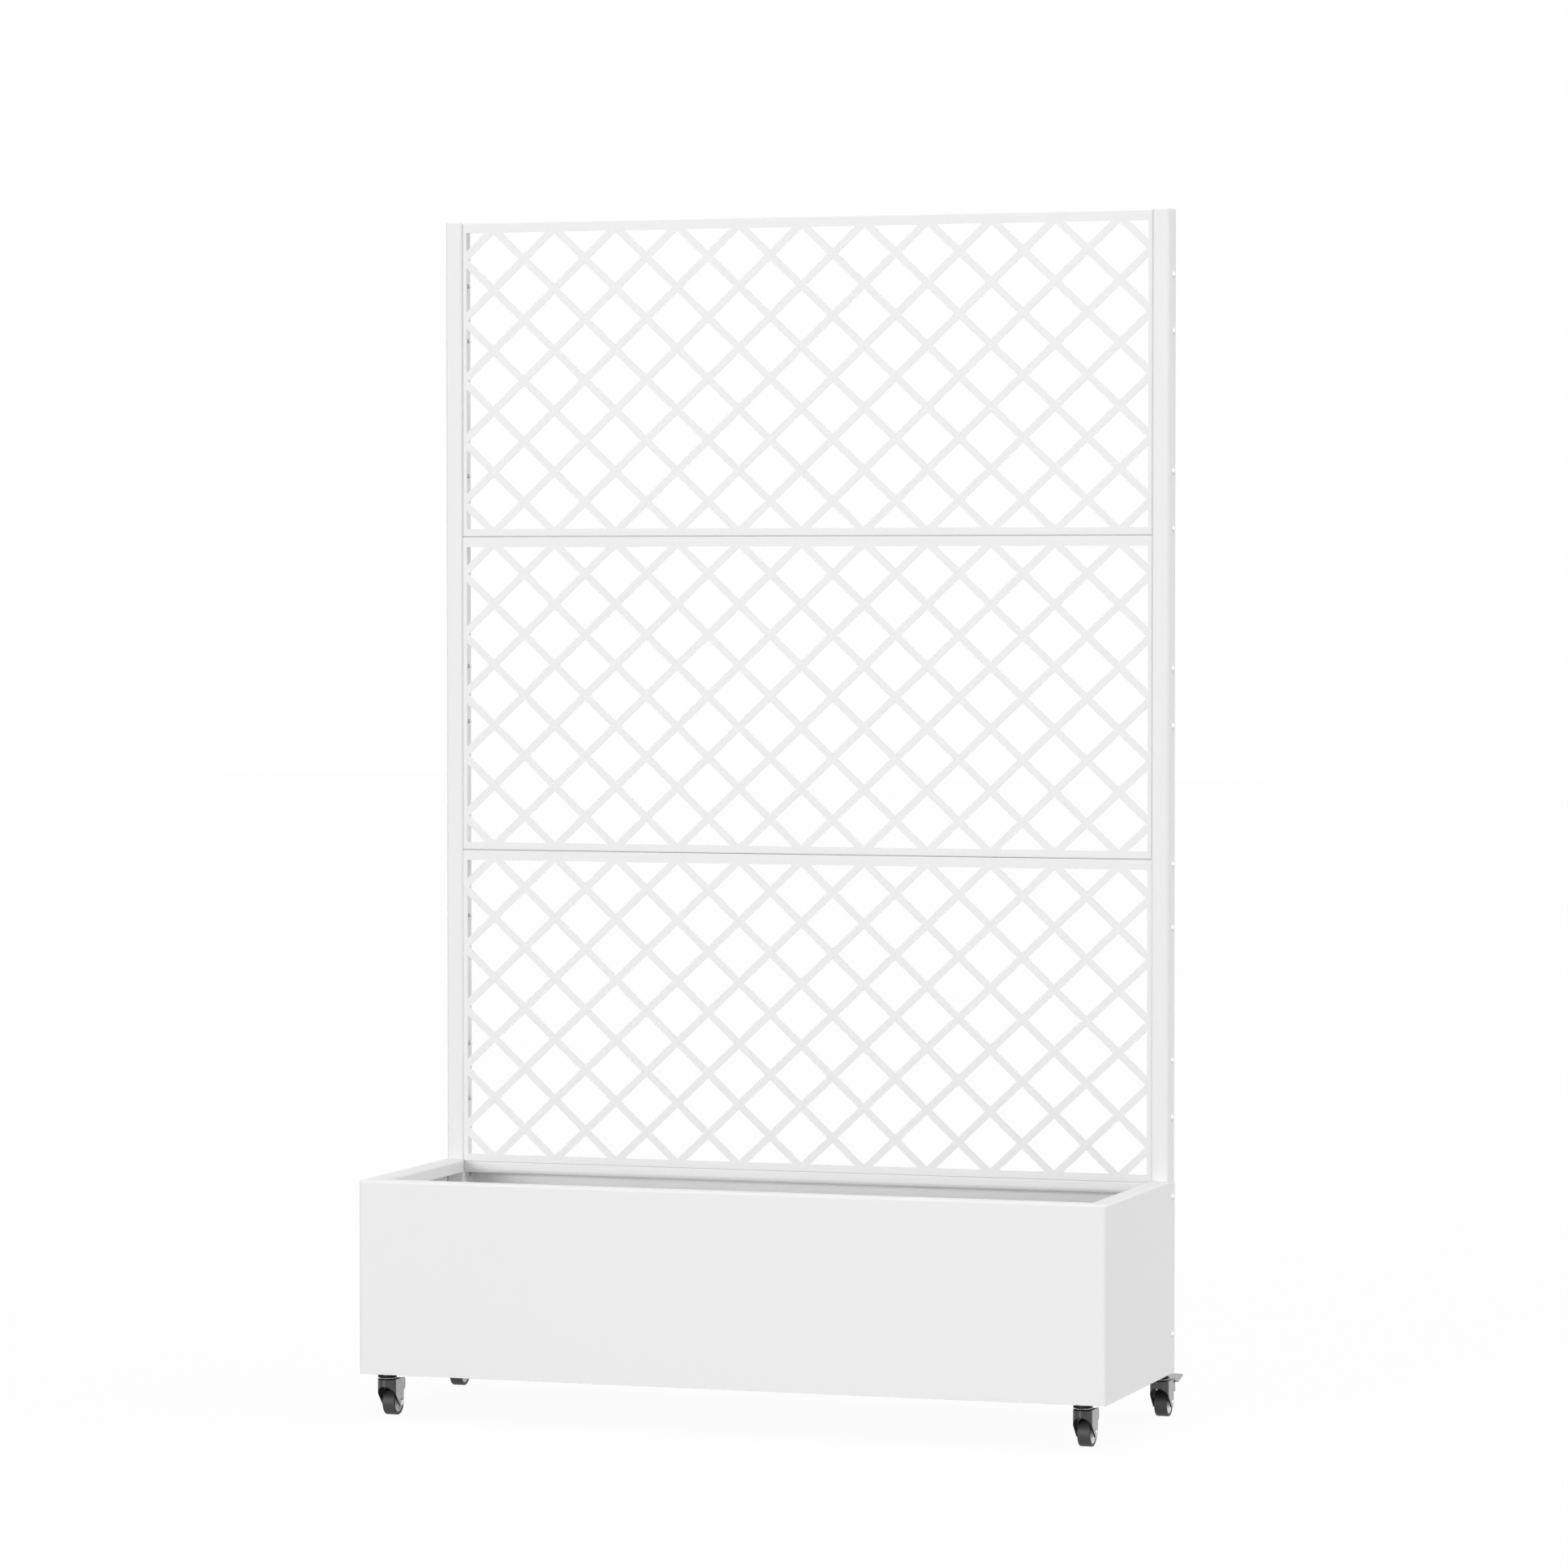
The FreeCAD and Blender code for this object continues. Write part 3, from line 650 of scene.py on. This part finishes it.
class PLANTER_OT_folded_box(Operator):
    """Make the folded box and its rear panel"""

    bl_idname = "planter.folded_box"
    bl_label = "Folded box"

    def execute(self, context):
        paint = context.scene.planter_paint
        lip_depth = 0.0102
        box = finished_copy("planter_shell", "folded_box", paint.sheet_edge)
        dress(box, BODY, "painted_steel", ["planter_shell"], powder_coat())
        wall = merged_copy("rear_panel", "rear_wall")
        lip_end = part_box("rear_panel")[0].y + lip_depth
        shift_points(wall, lambda point: point.y < lip_end, (0, -paint.rim_reach, 0))
        round_edges(wall, paint.sheet_edge)
        smooth(wall)
        dress(wall, BODY, "painted_steel", ["rear_panel"], powder_coat())
        return {"FINISHED"}


class PLANTER_OT_floor_and_rails(Operator):
    """Make the floor tray and the two caster rails"""

    bl_idname = "planter.floor_and_rails"
    bl_label = "Floor and rails"

    def execute(self, context):
        edge = context.scene.planter_paint.sheet_edge
        for node, name in (
            ("floor_tray", "drained_floor"),
            ("front_rail", "front_channel"),
            ("rear_rail", "rear_channel"),
        ):
            piece = finished_copy(node, name, edge)
            dress(piece, BODY, "painted_steel", [node], powder_coat())
        return {"FINISHED"}


class PLANTER_OT_posts(Operator):
    """Make the two posts and their caps"""

    bl_idname = "planter.posts"
    bl_label = "Posts and caps"

    def execute(self, context):
        paint = context.scene.planter_paint
        for side in ("left", "right"):
            tube = finished_copy(side + "_post", side + "_tube", paint.sheet_edge)
            dress(tube, BODY, "painted_steel", [side + "_post"], powder_coat())
            cap = finished_copy(side + "_post_cap", side + "_lid", paint.cap_edge, 3)
            dress(cap, BODY, "cap_plastic", [side + "_post_cap"], cap_plastic())
        return {"FINISHED"}


class PLANTER_OT_screens(Operator):
    """Make the three trellis screens"""

    bl_idname = "planter.screens"
    bl_label = "Trellis screens"

    def execute(self, context):
        paint = context.scene.planter_paint
        end_reach = 0.0005
        boxes = [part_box(node) for node in SCREENS]
        shift = (boxes[1][0].z - boxes[0][1].z - paint.screen_seam) / 2
        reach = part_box("right_post")[0].x - boxes[0][1].x
        for place, node in enumerate(SCREENS):
            screen = merged_copy(node, node.replace("_trellis_panel", "_screen"))
            low, high = boxes[place]
            foot, face = low.z + SHEET_REACH, low.y + SHEET_REACH
            head, wall = high.z - SHEET_REACH, high.x - SHEET_REACH
            flange_end = high.y - end_reach
            if place > 0:
                shift_points(screen, lambda point: point.z < foot, (0, 0, -shift))
            if place < len(SCREENS) - 1:
                shift_points(screen, lambda point: point.z > head, (0, 0, shift))
            for side in (-1, 1):
                shift_points(screen, lambda point: point.x * side > wall, (side * reach, 0, 0))
            self.widen_bars(screen, paint.bar_gain, paint.hole_drop)
            shift_points(screen, lambda point: point.y < face, (0, -paint.screen_reach, 0))
            shift_points(screen, lambda point: point.y > flange_end, (0, -paint.flange_cut, 0))
            self.fold(screen, paint.screen_fold, place > 0)
            round_edges(screen, paint.cut_edge)
            smooth(screen)
            dress(screen, BODY, "painted_steel", [node], powder_coat())
        return {"FINISHED"}

    def widen_bars(self, screen, gain, drop):
        """Make the holes smaller along their sloping walls and set them lower."""
        upright = 0.01
        back = min(vertex.co.y for vertex in screen.data.vertices) + SHEET_REACH
        walls = {}
        for face in screen.data.polygons:
            points = [screen.data.vertices[index].co for index in face.vertices]
            if abs(face.normal.y) < upright and max(point.y for point in points) < back:
                out = (round(face.normal.x, 3), round(face.normal.z, 3))
                for point in points:
                    walls.setdefault(tuple(point), set()).add(out)
        moves = {}
        for place, pair in walls.items():
            (one_x, one_z), (two_x, two_z) = pair
            one, two = (gain if x and z else 0 for x, z in pair)
            size = one_x * two_z - one_z * two_x
            across = (one * two_z - two * one_z) / size
            rise = (two * one_x - one * two_x) / size - drop
            move = tuple(round(part, 7) for part in (across, 0, rise))
            moves.setdefault(move, set()).add(place)
        for move, places in moves.items():
            shift_points(screen, lambda point: tuple(point) in places, move)

    def fold(self, screen, radius, foot):
        """Round the head, and the foot where it is wanted, where the face turns into a flange."""
        points = [vertex.co for vertex in screen.data.vertices]
        front = min(point.y for point in points)
        levels = [max(point.z for point in points)]
        if foot:
            levels.append(min(point.z for point in points))

        def outer(point):
            near = any(abs(point.z - level) < SAME_POINT for level in levels)
            return point.y < front + SAME_POINT and near

        pick_edges(screen, outer)
        bpy.ops.mesh.bevel(offset=radius, segments=4, profile=0.5, affect="EDGES")
        bpy.ops.object.mode_set(mode="OBJECT")


DOME_SHARES = ((0, 1), (0.32, 0.96), (0.6, 0.82), (0.82, 0.56), (0.95, 0.26), (1, 0), (0, 0))


def domed_bolt(low, high, side):
    """Bolt with a domed head, a square neck and a round shank, head to the side given."""
    sizes = bpy.context.scene.planter_fasteners
    head_proud, shank_chamfer, neck_edge = 0.0003, 0.0006, 0.0004
    middle = (low + high) / 2
    head = sizes.head_height
    end = head - (high.x - low.x)
    seat = (high.x if side > 0 else low.x) - side * (head - head_proud)
    centre = Vector((seat, middle.y, middle.z))
    axis = RIGHT * side
    profile = [(sizes.head_radius * out, head * up) for out, up in DOME_SHARES]
    dome = lathe("bolt head", profile, centre, axis, steps=28, closed=False)
    shank = lathe("bolt shank", [
        (0, end), (sizes.shank_radius - shank_chamfer, end),
        (sizes.shank_radius, end + shank_chamfer), (sizes.shank_radius, 0), (0, 0),
    ], centre, axis, steps=20, closed=False)
    bpy.ops.object.select_all(action="DESELECT")
    neck_middle = centre - axis * (sizes.neck_length / 2)
    bpy.ops.mesh.primitive_cube_add(size=1, location=neck_middle)
    neck = bpy.context.object
    neck.scale = (sizes.neck_length, high.y - middle.y, high.y - middle.y)
    apply_place(neck)
    round_edges(neck, neck_edge)
    bolt = join([dome, shank, neck], "bolt")
    smooth(bolt)
    return bolt


class PLANTER_OT_bolts(Operator):
    """Make the bolts through the posts"""

    bl_idname = "planter.bolts"
    bl_label = "Bolts"

    def execute(self, context):
        for side, turn in (("left", -1), ("right", 1)):
            for group in ("screen_bolts", "box_bolts"):
                node = side + "_" + group
                boxes = solid_boxes(node)
                first = domed_bolt(*boxes[0], turn)
                bolts = [copy_to(first, "bolt", box[0] - boxes[0][0]) for box in boxes[1:]]
                row = join([first] + bolts, side + "_" + group.replace("bolts", "fasteners"))
                dress(row, BODY, "plated_bolts", [node], bright_zinc())
        return {"FINISHED"}


class PLANTER_OT_caster_heads(Operator):
    """Make the stems, nuts, upper races and bearing balls of the casters"""

    bl_idname = "planter.caster_heads"
    bl_label = "Caster heads"

    def execute(self, context):
        sizes = context.scene.planter_casters
        cup_share, ball_sink = 0.58, 0.0002
        for node, name in (("caster_stems", "threaded_stems"), ("stem_nuts", "locking_nuts")):
            piece = finished_copy(node, name, sizes.steel_edge)
            dress(piece, BODY, "zinc_plate", [node], bright_zinc())
        cups, balls = [], []
        for low, high in solid_boxes("swivel_races"):
            centre = Vector(((low.x + high.x) / 2, (low.y + high.y) / 2, 0))
            radius = (high.x - low.x) / 2
            cups.append(self.cup(centre, radius, high.z, (high.z - low.z) * cup_share))
            balls += self.ball_ring(centre, low.z + sizes.ball_radius - ball_sink)
        cup = join(cups, "upper_races")
        dress(cup, BODY, "black_race", ["swivel_races"], black_oxide_and_painted_shade())
        ring = join(balls, "bearing_balls")
        smooth(ring, angle=80)
        dress(ring, BODY, "black_race", ["swivel_races"], bright_zinc())
        return {"FINISHED"}

    def cup(self, centre, radius, top, height):
        """Pressed cup that holds the balls from above."""
        wall, bore, edge = 0.0013, 0.0044, 0.0004
        shoulder = wall * 1.8
        cup = lathe("cup", [
            (bore, top), (radius, top), (radius, top - height), (radius - wall, top - height),
            (radius - shoulder, top - wall), (bore, top - wall),
        ], centre, UP, steps=56)
        round_edges(cup, edge, angle=30)
        smooth(cup)
        return cup

    def ball_ring(self, centre, level):
        """Balls of one bearing, copied round from the first."""
        sizes = bpy.context.scene.planter_casters
        bpy.ops.object.select_all(action="DESELECT")
        bpy.ops.mesh.primitive_ico_sphere_add(
            subdivisions=2, radius=sizes.ball_radius,
            location=centre + RIGHT * sizes.ball_circle + UP * level,
        )
        first = bpy.context.object
        apply_place(first)
        balls = [first]
        for place in range(1, sizes.ball_count):
            turn = Matrix.Rotation(math.tau * place / sizes.ball_count, 3, "Z")
            offset = turn @ (RIGHT * sizes.ball_circle) - RIGHT * sizes.ball_circle
            balls.append(copy_to(first, "ball", offset))
        return balls


CUTTER_WIDTH = 0.05


class PLANTER_OT_forks(Operator):
    """Make the four pressed forks"""

    bl_idname = "planter.forks"
    bl_label = "Forks"

    def execute(self, context):
        sizes = context.scene.planter_casters
        nose_end = 0.0062
        cheek_rear, cheek_foot = 0.0055, 0.0065
        for caster in CASTERS:
            node = caster + "_fork"
            low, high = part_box(node)
            pivot = JOINTS[caster + "_swivel"]
            axle = JOINTS[caster + "_spin"]
            fork = merged_copy(node, caster + "_horn")
            nose = Vector((pivot.x, low.y, pivot.z - sizes.nose_drop))
            self.cut_nose(fork, nose, axle.y - nose_end, low.z)
            if caster + "_brake_lever" in JOINTS:
                near = Vector((pivot.x, axle.y + cheek_rear, axle.z + cheek_foot))
                far = Vector((pivot.x, high.y, pivot.z - sizes.lug_height))
                self.cut_block(fork, near, far)
            else:
                self.round_cheeks(fork, pivot, high.y, sizes.cheek_fold)
            round_edges(fork, sizes.steel_edge, 3)
            smooth(fork)
            # Painted shade on the nose, edges and inside, and painted light on the flat cheeks.
            finishes = (nickel_painted_shade(), black_oxide_and_painted_shade(), nickel_painted_light())
            dress(fork, caster + "_caster", "fork_steel", [node], *finishes)
            self.paint_faces(fork, pivot, (high.x - low.x) / 2)
        return {"FINISHED"}

    def paint_faces(self, fork, pivot, half):
        """Black race, painted shade on the inside, painted light on the flat cheeks, and painted
        shade on the nose and edges.
        """
        race_level, race_radius = 0.00005, 0.0148
        cheek_depth, nose_depth = 0.0018, 0.0015
        sideways, cheek_start = 0.98, -0.001
        for face in fork.data.polygons:
            out = face.center - pivot
            radius = math.hypot(out.x, out.y)
            race = out.z > race_level and radius < race_radius
            behind = out.y > 0 or radius < half - nose_depth
            # The inside of the fork takes the black finish as painted shade.
            inside = abs(out.x) < half - cheek_depth and behind
            # Flat sides facing left and right take the painted light.
            cheek = abs(face.normal.x) > sideways and out.y > cheek_start
            face.material_index = 1 if race or inside else 2 if cheek else 0

    def cut_nose(self, fork, start, end, foot):
        """Slope the lower edge of the nose down to the front of the cheeks' tips."""
        run = Vector((0, end - start.y, foot - start.z))
        slope = math.atan2(run.z, run.y)
        depth, past_end = 0.03, 0.01
        down = Vector((0, math.sin(slope), -math.cos(slope)))
        middle = start + run / 2 + down * (depth / 2)
        bpy.ops.object.select_all(action="DESELECT")
        bpy.ops.mesh.primitive_cube_add(size=1, location=middle, rotation=(slope, 0, 0))
        cutter = bpy.context.object
        cutter.scale = (CUTTER_WIDTH, run.length + past_end, depth)
        apply_place(cutter)
        self.cut(fork, cutter)

    def cut_block(self, fork, near, far):
        """Cut the cheeks back behind the wheel, under the lug of the brake's pin."""
        past_end = 0.01
        middle = (near + far) / 2 + Vector((0, past_end / 2, 0))
        bpy.ops.object.select_all(action="DESELECT")
        bpy.ops.mesh.primitive_cube_add(size=1, location=middle)
        cutter = bpy.context.object
        cutter.scale = (CUTTER_WIDTH, far.y - near.y + past_end, far.z - near.z)
        apply_place(cutter)
        self.cut(fork, cutter)

    def cut(self, fork, cutter):
        """Take the cutter out of the fork."""
        apply_modifier(
            fork, "BOOLEAN", operation="DIFFERENCE", solver="EXACT", object=cutter,
        )
        bpy.data.objects.remove(cutter)

    def round_cheeks(self, fork, pivot, rear, radius):
        """Round the rear corners of both cheeks."""
        cheek_height = 0.03

        def at_rear(point):
            return point.y > rear - ON_FACE and point.z > pivot.z - cheek_height

        def across(one, two):
            return abs(one.z - two.z) < ON_FACE and abs(one.x - two.x) > ON_FACE

        pick_edges(fork, at_rear, across)
        bpy.ops.mesh.bevel(offset=radius, segments=6, profile=0.5, affect="EDGES")
        bpy.ops.object.mode_set(mode="OBJECT")


class PLANTER_OT_wheels(Operator):
    """Make the tyres, hubs and axles"""

    bl_idname = "planter.wheels"
    bl_label = "Wheels"

    def execute(self, context):
        first = CASTERS[0]
        start = JOINTS[first + "_spin"]
        models = {
            "tyre": (self.tyre(first, start), "_wheel", "tyre", tyre_rubber),
            "hub": (self.hub(first, start), "_wheel", "hub_plastic", hub_plastic),
            "axle": (self.axle(first, start), "_caster", "zinc_plate", bright_zinc),
        }
        names = {"tyre": "tread", "hub": "wheel_centre", "axle": "axle_rivet"}
        for part, (model, body, slot, material) in models.items():
            for caster in CASTERS:
                offset = JOINTS[caster + "_spin"] - start
                piece = model if caster == first else copy_to(model, "copy", offset)
                piece.name = caster + "_" + names[part]
                dress(piece, caster + body, slot, [caster + "_" + part], material())
        return {"FINISHED"}

    def tyre(self, caster, centre):
        """Tread with rounded shoulders and a fine moulding seam."""
        low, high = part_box(caster + "_tyre")
        outer, half = (high.z - low.z) / 2, (high.x - low.x) / 2
        hub_low, hub_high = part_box(caster + "_hub")
        bore = (hub_high.z - hub_low.z) / 2
        chamfer_depth, chamfer_width = 0.0006, 0.0009
        seam_width, seam_height = 0.00035, 0.0001
        piece = lathe("tyre", mirrored_profile([
            (bore, half - chamfer_depth), (bore + chamfer_width, half), (outer, half),
            (outer, seam_width), (outer + seam_height, 0),
        ]), centre, RIGHT, steps=96)
        shoulder = bpy.context.scene.planter_casters.tread_rounding

        def at_shoulder(point):
            out = point - centre
            return math.hypot(out.y, out.z) > outer - ON_FACE and abs(out.x) > half - ON_FACE

        pick_edges(piece, at_shoulder)
        bpy.ops.mesh.bevel(offset=shoulder, segments=7, profile=0.5, affect="EDGES")
        bpy.ops.object.mode_set(mode="OBJECT")
        smooth(piece, 50)
        return piece

    def hub(self, caster, centre):
        """Moulded hub: an outer rim, a shallow dish and a boss round the axle."""
        low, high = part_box(caster + "_hub")
        outer, boss = (high.z - low.z) / 2, (high.x - low.x) / 2
        bore, boss_radius, boss_foot = 0.00305, 0.0062, 0.0066
        boss_rise, dish_middle, dish_depth = 0.003, 0.0016, 0.0022
        dish_radius, rim_radius = outer - 0.0042, outer - 0.0028
        chamfer_width, chamfer_depth, edge = 0.0002, 0.0004, 0.0006
        half = boss - boss_rise
        piece = lathe("hub", mirrored_profile([
            (bore, boss), (boss_radius, boss), (boss_foot, half - dish_middle),
            (dish_radius, half - dish_depth), (rim_radius, half),
            (outer - chamfer_width, half), (outer, half - chamfer_depth),
        ]), centre, RIGHT, steps=72)
        round_edges(piece, edge, 3, 25)
        smooth(piece, 50)
        return piece

    def axle(self, caster, centre):
        """Rivet with a domed head at each end."""
        low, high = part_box(caster + "_axle")
        end = (high.x - low.x) / 2
        radius = (high.z - low.z) / 2
        fork_low, fork_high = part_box(caster + "_fork")
        seat = (fork_high.x - fork_low.x) / 2
        pin_radius, pin_end, skirt, edge = 0.003, 0.001, 0.0004, 0.0002
        dome = [(0, 0.0007), (0.45, 0.0005), (0.8, -0.0001)]
        head = [(radius * share, end + rise) for share, rise in dome]
        piece = lathe("axle", mirrored_profile(head + [
            (radius, seat + skirt), (radius, seat), (pin_radius, seat), (pin_radius, pin_end),
        ]), centre, RIGHT, steps=40, closed=False)
        round_edges(piece, edge)
        smooth(piece, 50)
        return piece


class PLANTER_OT_brakes(Operator):
    """Make the brake pins, pedals and shoes of the rear casters"""

    bl_idname = "planter.brakes"
    bl_label = "Brakes"

    def execute(self, context):
        sizes = context.scene.planter_casters
        pin_edge = 0.0004
        for caster in CASTERS[2:]:
            node = caster + "_brake_pin"
            pin = finished_copy(node, caster + "_hinge_pin", pin_edge, 3)
            dress(pin, caster + "_caster", "black_race", [node], black_oxide_and_painted_shade())
            node = caster + "_brake_pedal"
            pedal = finished_copy(node, caster + "_foot_plate", sizes.steel_edge, 3)
            dress(pedal, caster + "_brake", "pedal_steel", [node], pedal_plate())
            node = caster + "_brake_shoe"
            shoe = merged_copy(node, caster + "_stop_shoe")
            middle = sum(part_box(node), Vector()).y / 2
            shift_points(shoe, lambda point: point.y > middle, (0, sizes.shoe_reach, 0))
            round_edges(shoe, sizes.steel_edge, 3)
            smooth(shoe)
            dress(shoe, caster + "_brake", "brake_zinc", [node], shoe_plate())
        return {"FINISHED"}


class PLANTER_OT_stage(Operator):
    """Make the floor, the light and the camera"""

    bl_idname = "planter.stage"
    bl_label = "Stage"

    def execute(self, context):
        stage = context.scene.planter_stage
        self.floor(stage)
        self.sky(context.scene, stage)
        soft, height = stage.softness, stage.fill_height
        self.lamp("key lamp", stage.key, stage.key_turn, stage.key_height, stage.key_softness)
        self.lamp("fill lamp", stage.fill, -stage.fill_turn, height, soft)
        self.lamp("back lamp", stage.back, -stage.back_turn, height, soft)
        self.lamp("overhead lamp", stage.overhead, 0, math.pi / 2, soft)
        self.camera(context.scene, stage)
        context.scene.view_settings.view_transform = "Standard"
        return {"FINISHED"}

    def floor(self, stage):
        """White floor that keeps a soft shadow."""
        glow_strength = 1.02
        bpy.ops.object.select_all(action="DESELECT")
        bpy.ops.mesh.primitive_plane_add(size=stage.floor_size, location=(0, 0, 0))
        floor = bpy.context.object
        floor.name = "floor"
        material, tree, shader = new_finish("white floor")
        shader.inputs["Base Color"].default_value = (*stage.floor_colour, 1)
        shader.inputs["Roughness"].default_value = 1
        shader.inputs["Specular IOR Level"].default_value = 0
        glow = tree.nodes.new("ShaderNodeEmission")
        glow.inputs["Strength"].default_value = glow_strength
        rays = tree.nodes.new("ShaderNodeLightPath")
        share = tree.nodes.new("ShaderNodeMath")
        share.operation = "MULTIPLY"
        share.inputs[1].default_value = stage.floor_glow
        seen = self.white_rays(tree, rays)
        blend = tree.nodes.new("ShaderNodeMixShader")
        output = tree.nodes["Material Output"]
        tree.links.new(seen, share.inputs[0])
        tree.links.new(share.outputs["Value"], blend.inputs["Fac"])
        tree.links.new(shader.outputs["BSDF"], blend.inputs[1])
        tree.links.new(glow.outputs["Emission"], blend.inputs[2])
        tree.links.new(blend.outputs["Shader"], output.inputs["Surface"])
        floor.data.materials.append(material)

    def white_rays(self, tree, rays):
        """One for rays that come from the camera, a gloss or a glass."""
        total = rays.outputs["Is Camera Ray"]
        for kind in ("Is Glossy Ray", "Is Transmission Ray"):
            add = tree.nodes.new("ShaderNodeMath")
            add.operation = "MAXIMUM"
            tree.links.new(total, add.inputs[0])
            tree.links.new(rays.outputs[kind], add.inputs[1])
            total = add.outputs["Value"]
        return total

    def sky(self, scene, stage):
        """Even light all round, and plain white where the camera looks past the floor."""
        world = bpy.data.worlds.new("studio")
        world.use_nodes = True
        tree = world.node_tree
        light = tree.nodes["Background"]
        light.inputs["Color"].default_value = (1, 1, 1, 1)
        light.inputs["Strength"].default_value = stage.sky
        white = tree.nodes.new("ShaderNodeBackground")
        white.inputs["Color"].default_value = (1, 1, 1, 1)
        white.inputs["Strength"].default_value = 1
        rays = tree.nodes.new("ShaderNodeLightPath")
        blend = tree.nodes.new("ShaderNodeMixShader")
        tree.links.new(self.white_rays(tree, rays), blend.inputs["Fac"])
        tree.links.new(light.outputs["Background"], blend.inputs[1])
        tree.links.new(white.outputs["Background"], blend.inputs[2])
        tree.links.new(blend.outputs["Shader"], tree.nodes["World Output"].inputs["Surface"])
        scene.world = world

    def lamp(self, name, strength, turn, height, softness):
        """Soft lamp, turned from the front towards the left, or to the right if below zero."""
        bpy.ops.object.light_add(type="SUN", location=(0, 0, 3))
        lamp = bpy.context.object
        lamp.name = name
        lamp.data.energy = strength
        lamp.data.angle = softness
        lamp.rotation_euler = (math.pi / 2 - height, 0, -turn)

    def camera(self, scene, stage):
        """Camera at the photograph's place."""
        sensor_width, far_end = 36, 200
        turn = (math.pi / 2 - stage.camera_drop, 0, stage.camera_turn)
        bpy.ops.object.camera_add(location=stage.camera_place, rotation=turn)
        camera = bpy.context.object
        camera.name = "camera"
        camera.data.lens = stage.lens
        camera.data.sensor_width = sensor_width
        camera.data.clip_end = far_end
        scene.camera = camera


class PLANTER_PT_panel(Panel):
    """Sidebar panel with the sizes, finishes and pieces"""

    bl_label = "Screen planter"
    bl_idname = "PLANTER_PT_panel"
    bl_space_type = "VIEW_3D"
    bl_region_type = "UI"
    bl_category = "Planter"

    def draw(self, context):
        layout = self.layout
        for name in SETTINGS:
            group = getattr(context.scene, name)
            box = layout.box()
            for prop in group.bl_rna.properties:
                if not prop.is_readonly and prop.identifier != "name":
                    box.prop(group, prop.identifier)
        for piece in PIECES:
            layout.operator(piece.bl_idname)


SETTINGS = {
    "planter_paint": PaintSettings,
    "planter_fasteners": FastenerSettings,
    "planter_casters": CasterSettings,
    "planter_stage": StageSettings,
}
PIECES = (
    PLANTER_OT_folded_box,
    PLANTER_OT_floor_and_rails,
    PLANTER_OT_posts,
    PLANTER_OT_screens,
    PLANTER_OT_bolts,
    PLANTER_OT_caster_heads,
    PLANTER_OT_forks,
    PLANTER_OT_wheels,
    PLANTER_OT_brakes,
    PLANTER_OT_stage,
)
CLASSES = (*SETTINGS.values(), *PIECES, PLANTER_PT_panel)


def register():
    """Register the classes and put the settings on the scene."""
    for item in CLASSES:
        bpy.utils.register_class(item)
    for name, group in SETTINGS.items():
        setattr(bpy.types.Scene, name, PointerProperty(type=group))


def unregister():
    """Take the settings and the classes away again."""
    for name in SETTINGS:
        delattr(bpy.types.Scene, name)
    for item in reversed(CLASSES):
        bpy.utils.unregister_class(item)


def main():
    """Make every piece in order."""
    register()
    bpy.ops.planter.folded_box()
    bpy.ops.planter.floor_and_rails()
    bpy.ops.planter.posts()
    bpy.ops.planter.screens()
    bpy.ops.planter.bolts()
    bpy.ops.planter.caster_heads()
    bpy.ops.planter.forks()
    bpy.ops.planter.wheels()
    bpy.ops.planter.brakes()
    bpy.ops.planter.stage()


if __name__ == "__main__":
    main()
